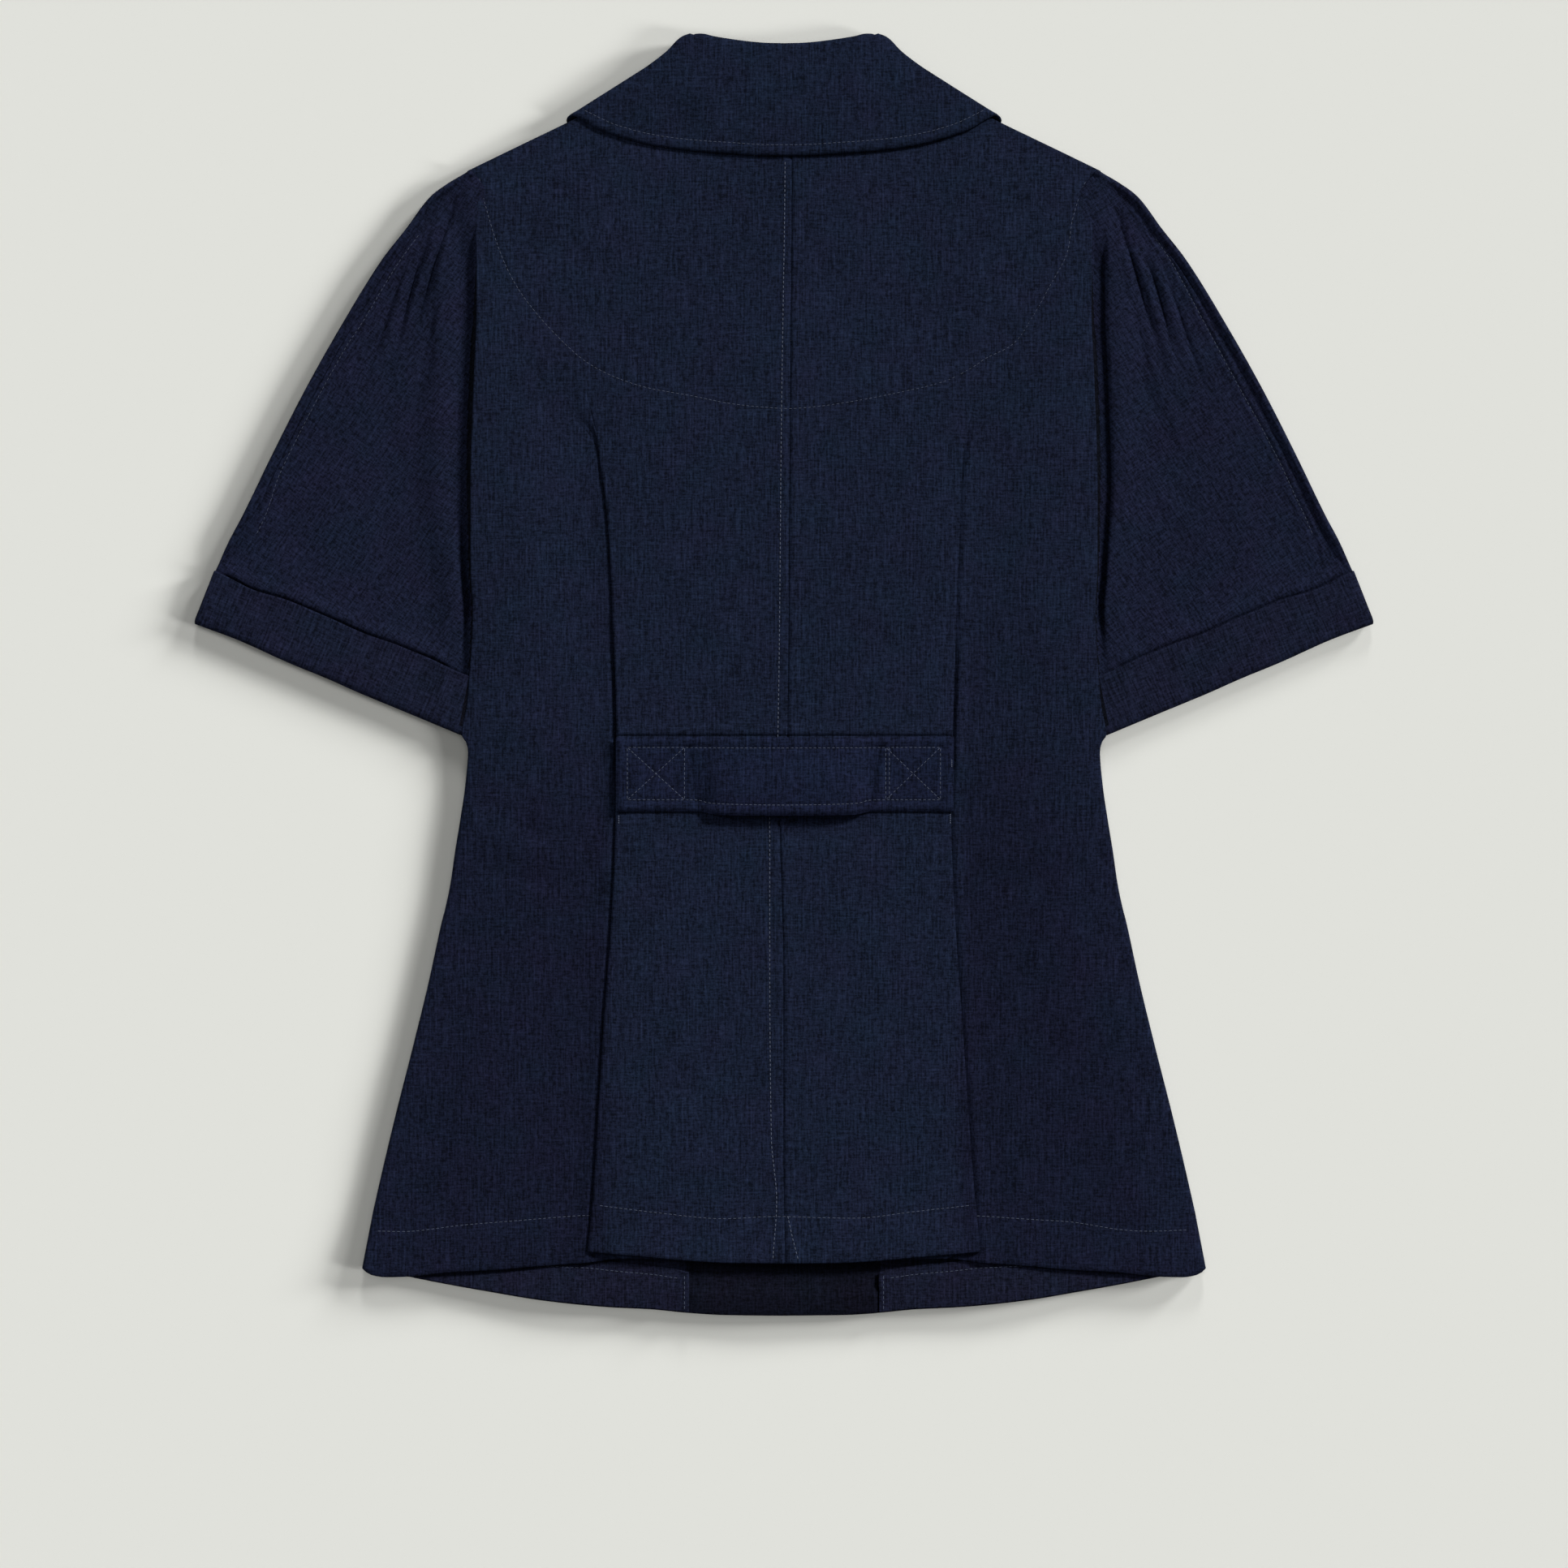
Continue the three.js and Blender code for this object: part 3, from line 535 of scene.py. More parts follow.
LAPEL_AREA = [(-54, 130), (10, 138), (112, 214), (128, 314), (54, 365)]
LAPEL_AREA_L = [(-a, b) for a, b in reversed(LAPEL_AREA)]
RIGHT_FRONT = [(-WRAP, -365), (240, -365), (240, -40), (180, 285), (58, 343), (-WRAP, BREAK_Y)]
BUTTON_AREA = [(-50, -8), (50, -8), (50, 110), (-50, 110)]


def z_front_r(x, y):
    return 0.5 + np.maximum(LAYER * cover(LAPEL_AREA, x, y), 3.0 * cover(BUTTON_AREA, x, y, 2, 26))


def z_lapel_l(x, y):
    return 0.5 + 2 * LAYER * smooth((345 - y + 0.62 * x) / 65)


def z_front_l(x, y):
    return 0.5 + np.maximum((z_lapel_l(x, y) + LAYER - 0.5) * cover(LAPEL_AREA_L, x, y),
                            (z_front_r(x, y) + LAYER - 0.5) * cover(RIGHT_FRONT, x, y, 6, 34))


# -------------------------------------------------------------- back panels
f_edge = curve(EDGE)
f_pl = {-1: curve(PLEAT, 1), 1: curve(PLEAT, 2)}
f_depth, f_zc, f_zs, f_ze = (curve(PLEAT, c) for c in (3, 4, 5, 6))
f_seam = curve(CB_SEAM)
f_cbst = curve(CB_STITCH)
f_hem_c, f_hem_s, f_fhem = curve(BACK_HEM_C), curve(BACK_HEM_S), curve(FRONT_HEM)


def back_top(x):
    sh = mix(HPS_Y, SHOULDER_Y, (x - NECK_HALF) / (SHOULDER_X - NECK_HALF)) + 1.1 * smooth((x - 90) / 30)
    nk = HPS_Y - NECK_DROP * np.sqrt(np.clip(1 - (x / NECK_HALF) ** 2, 0, 1)) - 0.4
    return np.where(x < NECK_HALF, nk, sh)


# creases of the back, in mm on the garment: height, width, fade, points
BACK_FOLDS = [
    # soft valley where each pleat starts to open
    (-0.9, 7, 1.0, [(-115, 176), (-110, 158), (-105, 138), (-101, 112)]),
    (-0.5, 7, 1.0, [(112, 172), (108, 150), (103, 128), (100, 104)]),
    # drag lines off the waist
    (-0.95, 4.5, 1.2, [(-178, -66), (-150, -86), (-122, -92), (-99, -88)]),
    (0.9, 6, 1.2, [(-180, -82), (-152, -98), (-124, -103), (-100, -100)]),
    (-0.8, 5, 1.2, [(-182, -100), (-156, -114), (-130, -118), (-106, -116)]),
    (-0.9, 4.5, 1.2, [(178, -62), (150, -84), (124, -92), (99, -90)]),
    (0.9, 6, 1.2, [(180, -80), (154, -97), (126, -104), (101, -102)]),
    (-0.8, 5, 1.2, [(184, -100), (158, -114), (132, -120), (108, -118)]),
    (0.4, 8, 1.0, [(-176, -22), (-150, -30), (-120, -34)]),
    (0.4, 8, 1.0, [(176, -20), (150, -30), (120, -34)]),
    # long soft flutes in the flare
    (-0.9, 15, 0.8, [(-128, -120), (-140, -200), (-150, -300)]),
    (0.9, 17, 0.8, [(-156, -130), (-172, -210), (-186, -310)]),
    (-0.9, 15, 0.8, [(128, -120), (140, -200), (148, -300)]),
    (0.9, 17, 0.8, [(158, -130), (174, -210), (190, -310)]),
    (0.5, 20, 0.8, [(-60, -110), (-66, -200), (-70, -300)]),
    (0.5, 20, 0.8, [(60, -110), (66, -200), (72, -300)]),
    # side panels between armhole and waist
    (0.6, 13, 0.8, [(-150, 130), (-142, 70), (-128, 10)]),
    (-0.6, 12, 0.8, [(-128, 130), (-120, 70), (-112, 10)]),
    (0.6, 13, 0.8, [(150, 120), (142, 66), (128, 8)]),
    (-0.6, 12, 0.8, [(130, 120), (121, 66), (113, 8)]),
    (-0.4, 9, 1.0, [(-166, 112), (-158, 60), (-160, 16)]),
    (-0.4, 9, 1.0, [(165, 116), (157, 62), (160, 14)]),
    # faint cross crease under the yoke
    (-0.25, 4, 1.0, [(8, 147), (42, 148), (84, 147)]),
    (0.35, 16, 0.8, [(-50, 120), (-46, 60), (-50, 0)]),
    (0.35, 16, 0.8, [(50, 120), (46, 60), (50, 0)]),
    (-0.35, 14, 0.8, [(-86, 240), (-92, 200), (-90, 150)]),
    (-0.35, 14, 0.8, [(88, 240), (92, 200), (90, 150)]),
    (-0.7, 9, 0.8, [(-64, -82), (-50, -88), (-20, -90), (20, -90), (54, -88), (68, -82)]),
]
HEM_ST_C = [(-105, -300.6), (-72.5, -304.6), (-38, -308), (-6, -306.8), (22, -307.5), (46.6, -307.5), (72, -304.3), (105.2, -300.6)]
HEM_ST_SL = [(-231, -315.3), (-210, -315.3), (-183, -312), (-155.8, -309.8), (-118, -306.8), (-109.5, -306.6)]
HEM_ST_SR = [(108.7, -306.6), (138.6, -308.7), (163.9, -310.3), (188.7, -314.2), (205.7, -315.3), (228.7, -314.7)]


def back_relief(x, y, visible):
    """Fine height of the back's upper face."""
    z = folds(x, y, BACK_FOLDS)
    d, a, side = poly_dist(x, y, bend(YOKE, 8))
    z += -0.34 * np.exp(-(d / 1.1) ** 2) + 0.25 * np.exp(-((d - 3.2) / 2.2) ** 2) * (side > 0)
    for line in (HEM_ST_C, HEM_ST_SL, HEM_ST_SR):
        d, a, side = poly_dist(x, y, bend(line, 8))
        z += np.where((a > 0.002) & (a < 0.998), -0.42 * np.exp(-(d / 1.2) ** 2), 0) * visible
    d, a, side = poly_dist(x, y, [(BELT_X0 - 1, BELT_TOP + 1.0), (BELT_X1 + 1, BELT_TOP + 1.0)])
    ends = smooth((95.4 - np.abs(x - 0.4)) / 1.5)
    z += (-1.0 * np.exp(-(d / 0.8) ** 2) + 0.5 * np.exp(-((y - BELT_TOP - 4.2) / 3.0) ** 2)) * ends
    z += 0.30 * value_noise(x, y, 46, 3) + 0.13 * value_noise(x, y, 19, 5) + 0.05 * value_noise(x, y, 8, 9)
    return z


def back_panel(s):
    n_top, n_hem = 40, 16
    t_top = np.linspace(0, 1, n_top, endpoint=False)
    mid_y = np.concatenate([np.linspace(251, -29, 122, endpoint=False), np.linspace(-29, -39, 16, endpoint=False), np.linspace(-39, -305, 114, endpoint=False)])
    t_hem = np.linspace(0, 1, n_hem)
    yn = np.concatenate([mix(SHOULDER_Y, 251, t_top), mid_y, mix(-305, -335, t_hem)])[:, None]
    P, d, zc, zs, ze, E = f_pl[s](yn), f_depth(yn), f_zc(yn), f_zs(yn), f_ze(yn), f_edge(yn)
    x0 = s * f_seam(yn) + 0.15
    h = np.maximum((zc - zs) / 2, 1.5)
    q = smooth((160 - yn) / 36)                       # 0: one layer, 1: folded
    r = h / 2
    xs, zz, vis, layer = [], [], [], []

    def put(x, z, v=1.0):
        xs.append(np.broadcast_to(x, yn.shape))
        zz.append(np.broadcast_to(z, yn.shape))
        vis.append(np.full(yn.shape, v))
    if s > 0:   # the right panel's seam allowance runs under the left one
        for o, dz in ((-9, -1.5), (-6, -1.6), (-3, -1.8), (-1.2, -2.2), (-0.6, -1.9), (-0.3, -1.6)):
            put(x0 + o, zc + dz, 0.3)
    for o in (0.0, 0.35, 0.75, 1.3, 2.1, 3.0, 4.0, 5.0, 6.0, 7.0, 8.2, 9.8, 12.0):
        lift = 0.5 * math.exp(-((o - 2.6) / 2.6) ** 2) - 0.75 * math.exp(-(o / 0.65) ** 2)   # the seam pulls in
        put(x0 + o, zc + lift)
    flat_in = P - 1.4
    for f in np.linspace(0, 1, 41)[1:]:
        g = 1 - (1 - f) ** 1.15
        droop = 0.5 * smooth((g - 0.86) / 0.14)
        put(mix(x0 + 12, flat_in, g), zc - droop * q)
    zt = zc - 0.5
    gap = zt - 2 * r - zs                             # second turn's height
    jj = 0

    def fold(x, z, v):
        nonlocal jj
        jj += 1
        w = jj / 32
        put(mix(flat_in + 20 * w, x, q), mix(mix(zc, zs, smooth(w)), z, q), v)
    for k in range(1, 8):                             # first turn of the pleat
        an = math.pi * (0.5 - k / 8)
        fold(P - r + r * math.cos(an), zt - r + r * math.sin(an), 1.0)
    for k in range(0, 8):                             # underlay
        fold(mix(P - r, P - d + r, k / 8), zt - 2 * r, 0.0)
    for k in range(0, 8):                             # second turn
        an = math.pi * (0.5 - k / 8)
        fold(P - d + r - r * math.cos(an), zs + gap * (0.5 + 0.5 * math.sin(an)), 0.0)
    start = P - d + r
    a1 = np.maximum(P - 0.5, start + 0.8)
    for k in range(8):                                # under the fold edge
        fold(mix(start, a1, k / 8), zs + 0 * yn, 0.3)
    a = mix(flat_in + 20, a1, q)
    rE = mix(0.6, 2.0, smooth((-44 - yn) / 20))
    for f in np.linspace(0, 1, 54):                   # side panel
        g = f ** 1.3
        x = mix(a, E - rE, g)
        body = mix(zs, ze, smooth((g - 0.06) / 0.9))
        puff = 0.9 * math.sin(math.pi * g) * smooth((170 - yn) / 60)
        edge_roll = -0.55 * math.exp(-((1 - f) * 9) ** 2)
        off = x - a
        waist = smooth((34 - yn) / 40) * smooth((yn + 60) / 14) * (1.0 if s > 0 else 0.55)
        valley = q * (-0.35 * np.exp(-(off / 2.2) ** 2) + 2.0 * waist * np.exp(-((off - 4.4) / 2.7) ** 2))
        rise = q * h * (0.6 * smooth((yn - 4) / 40) * np.exp(-((off - 2.5) / 4.5) ** 2) + 0.75 * smooth((-34 - yn) / 14) * np.exp(-((off - 3.0) / 5.0) ** 2))
        put(x, body + puff + edge_roll + valley + rise)
    zE = ze - 0.55
    under = mix(1.5, 7.0, smooth((yn + 46) / 30))
    for k in range(1, 8):                             # side edge rolls under
        an = math.pi * (0.5 - k / 8)
        put(E - rE + rE * math.cos(an), zE - rE + rE * math.sin(an), 0.0)
    for f in (0.0, 0.5, 1.0):
        put(E - rE - under * f, zE - 2 * rE, 0.0)
    X, Z, VIS = (np.concatenate(v, axis=1) for v in (xs, zz, vis))
    Y = np.repeat(yn, X.shape[1], axis=1)
    tt = t_top[:, None]
    ytop = back_top(X[:n_top])
    Y[:n_top] = mix(ytop, 251, tt)
    xx = np.abs(X[:n_top])
    ztop = np.where(xx < NECK_HALF, 6.4 - 1.0 * (xx / NECK_HALF) ** 3, np.where(xx < 130, mix(5.4, 4.9, (xx - NECK_HALF) / 74), mix(4.9, 5.2, (xx - 130) / 50)))
    Z[:n_top] = Z[:n_top] + (ztop - f_zc(284.5)) * (1 - smooth(tt * 1.6))
    th = t_hem[:, None]
    nC = 13 + 40 + 7 + (6 if s > 0 else 0)
    Xh = X[-n_hem:]
    hem = np.where(np.arange(X.shape[1])[None, :] < nC + 3, f_hem_c(np.abs(Xh)), f_hem_s(np.abs(Xh)))
    Y[-n_hem:] = mix(-305, hem, th)
    Z[-n_hem:] += smooth(th * 1.1) * np.where(np.arange(X.shape[1])[None, :] < nC + 3, 1.5, 1.6)
    Z = Z + back_relief(s * X, Y, VIS) * VIS
    # hem allowance makes the bottom edge thicker, and curls it a little
    hem_t = smooth((-298 - Y) / 3)
    Pm = np.stack([s * X, Y, Z], axis=-1)
    uv = np.stack([s * X, Y], axis=-1)
    return shell("back_left" if s < 0 else "back_right", Pm, CLOTH + 0.5 * hem_t * (VIS > 0.5), uv, M_BACK)


for s, side in ((-1, "left"), (1, "right")):
    ob = back_panel(s)
    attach(ob, "root")
    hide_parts("back_" + side)

# -------------------------------------------------------------------- fronts
FRONT_TOP = [(178.4, 284, 60, 341), (175, 260, 41.5, 310), (173.6, 229, 17, 262), (174.4, 197, -7, 215), (175.2, 165, -30, 172), (177, 128, -53, 128)]


FRONT_FOLDS = [   # the hidden side has soft creases too, pressed up off the surface
    (0.7, 12, 0.8, [(-126, -112), (-139, -196), (-150, -288)]),
    (0.6, 9, 0.8, [(-150, 104), (-141, 34), (-128, -38)]),
    (0.6, 5, 1.0, [(-176, -74), (-152, -90), (-122, -96)]),
    (0.65, 13, 0.8, [(130, -104), (143, -200), (158, -284)]),
    (0.6, 8, 0.8, [(147, 92), (138, 20), (126, -44)]),
    (0.6, 5, 1.0, [(174, -66), (150, -84), (121, -90)]),
]
SLEEVE_UNDER = [
    (0.6, 7, 0.8, [(-204, 222), (-222, 168), (-246, 104)]),
    (0.55, 6, 0.8, [(-186, 206), (-196, 150), (-204, 92)]),
    (0.5, 9, 0.8, [(-232, 176), (-258, 122), (-280, 84)]),
]


def front_panel(s, zf, name):
    top_t = np.linspace(0, len(FRONT_TOP) - 1, 34, endpoint=False)
    cols = np.concatenate([np.linspace(-WRAP, 100, 52), np.linspace(100, 177, 26)[1:]])
    frac = (cols + WRAP) / (177 + WRAP)
    k = np.arange(len(FRONT_TOP))
    tab = np.array(FRONT_TOP, float)
    ex, ey, bx, by = (np.interp(top_t, k, tab[:, c])[:, None] for c in range(4))
    X1, Y1 = mix(bx, ex, frac[None]), mix(by, ey, frac[None])
    y2 = np.concatenate([np.concatenate([np.linspace(128, -290, 70, endpoint=False), np.linspace(-290, -330, 18, endpoint=False)])])[:, None]
    E = f_edge(y2)
    X2 = np.where(cols[None] <= 100, cols[None], mix(100, E - 0.4, (cols[None] - 100) / 77))
    Y2 = np.repeat(y2, len(cols), axis=1)
    th = np.linspace(0, 1, 12)[:, None]
    E3 = f_edge(mix(-330, -336, th))
    X3 = np.where(cols[None] <= 100, cols[None], mix(100, E3 - 0.4, (cols[None] - 100) / 77))
    hem = f_fhem(np.abs(X3))
    Y3 = mix(-330, hem, th)
    X, Y = np.concatenate([X1, X2, X3]), np.concatenate([Y1, Y2, Y3])
    Z = zf(s * X, Y)
    Z = Z + folds(s * X, Y, FRONT_FOLDS)
    inner = smooth((-300 - Y) / 20)
    Z = Z + (3.4 + 0.4 * np.sin(X * 0.055 + 1.1)) * smooth((-322 - Y) / 32) * (1 - smooth((X - 226) / 10))   # the hem stands a little off the floor
    mid = 1 - smooth((np.abs(X) - 53) / 3)
    Z = Z + inner * mid * (-2.4 * smooth((-300 - Y) / 20) + 2.2 * smooth((-348.6 - Y) / 1.0))
    Z = Z + (0.12 * value_noise(s * X, Y, 26, 13) * smooth((Z - 0.9) / 0.6))
    Z = np.where(Z < 1.0, 0.6 + 0.4 * np.exp(np.minimum(Z - 1.0, 0) / 0.4), Z)   # never through the floor
    uv = np.stack([s * X, Y], axis=-1)
    return shell(name, np.stack([s * X, Y, Z], axis=-1), CLOTH, uv, M_FRONT)


def inside_up(ob):
    ob.data.materials.append(M_INSIDE)
    ob.data.materials.append(M_RECESS_SHADE)
    # up-facing faces of the fronts between the hem strips, low down, get the painted shade
    ob.data.polygons.foreach_set("material_index", [(2 if abs(p.center.x) < 0.056 and p.center.y < -0.28 else 1) if p.normal.z > 0.2 else 0 for p in ob.data.polygons])


ob = front_panel(1, z_front_r, "front_right")
inside_up(ob)
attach(ob, "root"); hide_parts("front_right")
ob = front_panel(-1, z_front_l, "front_left")
inside_up(ob)
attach(ob, "root"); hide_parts("front_left")


def hem_strip(s, zf, name):
    x = np.concatenate([[54.2, 54.6, 55.2], np.linspace(56, 226, 86)])[None]
    up = np.concatenate([[0.6, 1.0, 1.6], np.linspace(2.5, 25.0, 14), [25.6, 26.2]])[:, None]
    k = np.interp(x, [54, 60, 110, 200, 226], [0.86, 0.9, 1.0, 0.75, 0.45])
    Y = f_fhem(x) + up * k
    X = np.repeat(x, len(up), axis=0)
    Z = zf(s * X, Y) + LAYER - 0.1 + 0.25 * value_noise(s * X, Y, 15, 21)
    Z = Z + (3.4 + 0.4 * np.sin(X * 0.055 + 1.1)) * smooth((-322 - Y) / 32) * (1 - smooth((X - 226) / 10))
    Z = Z - 0.45 * np.exp(-((up * k - 21.0) / 0.9) ** 2) + 0.9 * np.exp(-((X - 55) / 2.6) ** 2)
    sx = mix(124.4, 129.4, smooth(up / 26))
    Z = Z - 0.8 * np.exp(-((X - sx) / 0.9) ** 2) + 0.35 * np.exp(-((np.abs(X - sx) - 2.4) / 1.6) ** 2)
    uv = np.stack([s * X, Y], axis=-1)
    return shell(name, np.stack([s * X, Y, Z], axis=-1), CLOTH, uv, M_INSIDE)


ob = hem_strip(1, z_front_r, "front_hem_right")
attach(ob, "root"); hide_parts("front_hem_right")
ob = hem_strip(-1, z_front_l, "front_hem_left")
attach(ob, "root"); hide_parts("front_hem_left")

# ------------------------------------------------------------------- sleeves
CUFF_TOP = [(0, 1.2), (10, 0.4), (24, -0.8), (46, 1.0), (70, 0.6), (92, -0.3), (112, 0.6), (130, 0.5), (150, -0.6), (170, 1.0)]
SLEEVE_FOLDS = [   # for the left sleeve, mirrored with small changes
    (-2.2, 1.7, 0.6, [(-186, 272), (-192, 252), (-201, 224), (-209, 196)]),
    (1.9, 3.0, 0.7, [(-190, 274), (-197, 252), (-206, 224), (-215, 194), (-222, 160)]),
    (-2.2, 1.7, 0.6, [(-201, 246), (-208, 230), (-214, 208), (-219, 186)]),
    (1.5, 2.6, 0.7, [(-206, 250), (-213, 232), (-220, 208), (-227, 180)]),
    (-1.6, 1.6, 0.6, [(-212, 240), (-220, 218), (-229, 192), (-238, 166)]),
    (1.2, 3.0, 0.8, [(-190, 262), (-193, 240), (-196, 210), (-198, 170)]),
    (-1.3, 2.2, 0.8, [(-190, 236), (-198, 206), (-206, 176)]),
    (-0.9, 2.4, 0.8, [(-196, 196), (-204, 168), (-216, 138)]),
    (0.8, 3.2, 0.8, [(-203, 200), (-212, 170), (-226, 136)]),
    (-0.6, 8, 0.8, [(-222, 150), (-226, 104), (-224, 62)]),
    (0.7, 9, 0.8, [(-252, 120), (-258, 88), (-262, 62)]),
    (-0.6, 7, 0.8, [(-276, 96), (-286, 76), (-292, 60)]),
    (0.6, 8, 1.0, [(-200, 60), (-206, 36), (-212, 18)]),
    (-0.5, 5, 0.8, [(-262, 132), (-246, 108), (-232, 90)]),
    (0.5, 9, 0.8, [(-300, 84), (-284, 62), (-268, 48)]),
    (-0.45, 2.6, 0.8, [(-196, 150), (-212, 124), (-224, 110)]),
    (-0.4, 2.4, 0.8, [(-198, 120), (-216, 92), (-232, 76)]),
    (0.4, 2.6, 0.8, [(-202, 126), (-220, 99), (-236, 84)]),
    (-0.4, 2.2, 0.8, [(-232, 66), (-244, 48), (-250, 32)]),
]


def sleeve(s, side, mat):
    tab = np.array(SLEEVE, float)
    ln = np.concatenate([[0], np.cumsum(np.hypot(*np.diff(tab[:, :2], axis=0).T))])
    rows = np.concatenate([np.linspace(0, ln[9], 140, endpoint=False), np.linspace(ln[9], ln[11], 50, endpoint=False), np.linspace(ln[11], ln[12], 8)])
    rows_tab = [(ln[i], *tab[i]) for i in range(len(tab))]
    ox, oy, ix, iy = (curve(rows_tab, c)(rows)[:, None] for c in (1, 2, 3, 4))
    v = np.interp(rows, ln, np.arange(len(tab)))[:, None]
    w = np.hypot(ox - ix, oy - iy)
    dx, dy = (ox - ix) / w, (oy - iy) / w
    cuffed = smooth((v - 9.0) / 1.0)

    def clear(d):                       # distance outside the body's edge
        return ix + dx * d - f_edge(iy + dy * d)

    def low(d):                         # on the front's edge, then on the floor
        return mix(1.9, 0.45, smooth((clear(d) + 0.2) / 2.4)) + 1.3 * cuffed + 1.3 * smooth(1 - (w - d) / 16) * (1 - cuffed)

    c_out = np.array([323.3, 57.6])
    c_dir = np.array([323.3 - 165, 57.6 + 6.0]) / math.hypot(158.3, 63.6)

    def above_cuff(x, y):               # distance above the cuff's upper edge
        ax, ay = x - c_out[0], y - c_out[1]
        return -ax * c_dir[1] + ay * c_dir[0] - curve(CUFF_TOP)(-(ax * c_dir[0] + ay * c_dir[1]))

    def upper_z(d):
        """Upper layer: level with the body at the shoulder, then a deep crevice
        beside the body's edge with the sleeve puffed up next to it."""
        c, y = clear(d), iy + dy * d
        g = smooth((262 - y) / 28)
        near, wide, flat = (13.5, 3.0, 7.2) if s > 0 else (18.5, 7.0, 8.0)
        slim = mix(1.0, 0.58, smooth((118 - y) / 80))    # the crevice narrows towards the cuff
        near, wide, flat = near * slim, wide * slim, flat * slim
        z0 = low(d) + 1.0 + full(d) * (1 - 0.6 * smooth((v - 5.5) / 3.5)) + 3.8 * np.exp(-((c - near) / 10.0) ** 2) * g * mix(1, 0.1, cuffed)
        slot = 1 - smooth((c - flat) / wide)
        z1 = mix(z0, low(d) + 0.95, slot * g * mix(1, 0.75, cuffed))
        ac = above_cuff(ix + dx * d, y)
        z1 = z1 + 1.5 * np.exp(-((ac - 4.0) / 3.6) ** 2) * smooth((c - 9) / 8) * smooth((w - d - 1) / 8)
        z1 = mix(z1, low(d) + 0.95, 1 - smooth((ac - 0.7) / 1.5))
        flush = f_ze(y) - 0.25
        return mix(z1, flush, (1 - smooth((c - 1) / 17)) * (1 - g))

    def full(d):
        f = np.clip((d - 20) / np.maximum(w - 20, 1), 0, 1)
        return 1.5 * np.sin(np.pi * f) ** 0.8 * np.minimum(1, w / 90) * mix(1, 0.15, cuffed)

    seam = w - np.minimum(6.0, 0.25 * w)
    over = [(286, 2), (241, 7.1), (208, 10), (167, 11.5), (123, 10.4), (90, 10.6), (54, 16.6), (33, 17)] if s > 0 else \
        [(286, 2), (250, 8), (202, 9.6), (190, 8.6), (117, 8.6), (93, 11.5), (77, 12.2), (52, 17.5), (33, 17.5)]

    def place(ds, upper):
        D = np.concatenate(ds, axis=1)
        X, Y = ix + dx * D, iy + dy * D
        return D, X, Y
    # lower layer, wrapped round the outer edge to the overarm seam
    r = mix(1.85, 0.9, cuffed)
    ds, zs_, vs = [], [], []
    for f in np.linspace(0, 1, 28):
        d = f * (w - r)
        ds.append(d); zs_.append(low(d)); vs.append(0 * d)
    for k in range(1, 8):
        an = math.pi * (k / 8 - 0.5)
        d = w - r + r * math.cos(an)
        ds.append(d); zs_.append(low(w) + r + r * math.sin(an)); vs.append(0 * d)
    for f in np.linspace(0, 1, 10):
        d = mix(w - r, seam + 0.12, f)
        ds.append(d); zs_.append(mix(low(w) + 2 * r, upper_z(d), smooth(f * 1.4))); vs.append(0 * d + f ** 0.5)
    D, Z, VV = (np.concatenate(q, axis=1) for q in (ds, zs_, vs))
    X, Y = ix + dx * D, iy + dy * D
    path = np.concatenate([0 * rows[:, None], np.cumsum(np.sqrt(np.diff(X, axis=1) ** 2 + np.diff(Y, axis=1) ** 2 + np.diff(Z, axis=1) ** 2), axis=1)], axis=1)
    Z = Z + VV * folds(-X, Y, SLEEVE_FOLDS) + (VV <= 0) * folds(-X, Y, SLEEVE_UNDER)
    uv = np.stack([s * X, Y + 0 * X], axis=-1)
    uv[..., 0] = s * np.where(D < w - r - 0.01, X, X)
    a = shell("sleeve_front_" + side, np.stack([s * X, Y, Z], axis=-1), CLOTH, uv, mat)
    # upper layer
    fr = np.concatenate([[0, 0.004, 0.009], np.linspace(0.016, 1, 136)])
    D = seam - fr[None] * seam
    X, Y = ix + dx * D, iy + dy * D
    Z = upper_z(D)
    rel = folds(-X, Y, SLEEVE_FOLDS) if s < 0 else folds(-X + 1.5, Y + 6, SLEEVE_FOLDS) * 0.95
    st = w - np.minimum(curve(over)(oy), 0.4 * w)
    rel += (-0.3 * np.exp(-((D - st) / 1.2) ** 2) + 0.7 * np.exp(-((D - st - 2.2) / 1.3) ** 2) + 0.45 * np.exp(-((D - st + 2.4) / 1.5) ** 2)) * smooth((w - 28) / 40)
    rel += 0.25 * value_noise(s * X, Y, 33, 31) + 0.08 * value_noise(s * X, Y, 12, 33)
    Z = Z + rel * mix(1, 0.25, cuffed) * smooth((clear(D) - 5) / 8)
    uv = np.stack([s * X, Y], axis=-1)
    b = shell("sleeve_back_" + side, np.stack([s * X, Y, Z], axis=-1), CLOTH, uv, mat)
    # painted shade: the bottom of the crevice beside the body gets a near-black cloth colour in place of its shadow
    b.data.materials.append(M_CREVICE_SHADE_L if s < 0 else M_CREVICE_SHADE_R)
    co = np.array([tuple(p.center * 1000) + (p.normal.z,) for p in b.data.polygons])
    # how far from the body's edge the painted shade reaches, by height on the sleeve
    shade_reach = np.interp(co[:, 1], [0, 40, 80, 120, 150, 190, 215, 244], [1.3, 1.5, 2.2, 3.0, 3.4, 3.2, 1.9, 0.0]) * (1.0 if s < 0 else 0.85)
    b.data.polygons.foreach_set("material_index", ((np.abs(co[:, 0]) - f_edge(co[:, 1]) < shade_reach) & (co[:, 3] > 0) & (co[:, 1] < 243)).astype(int))
    for ob, n in ((a, "sleeve_front_"), (b, "sleeve_back_")):
        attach(ob, "root"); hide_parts(n + side)
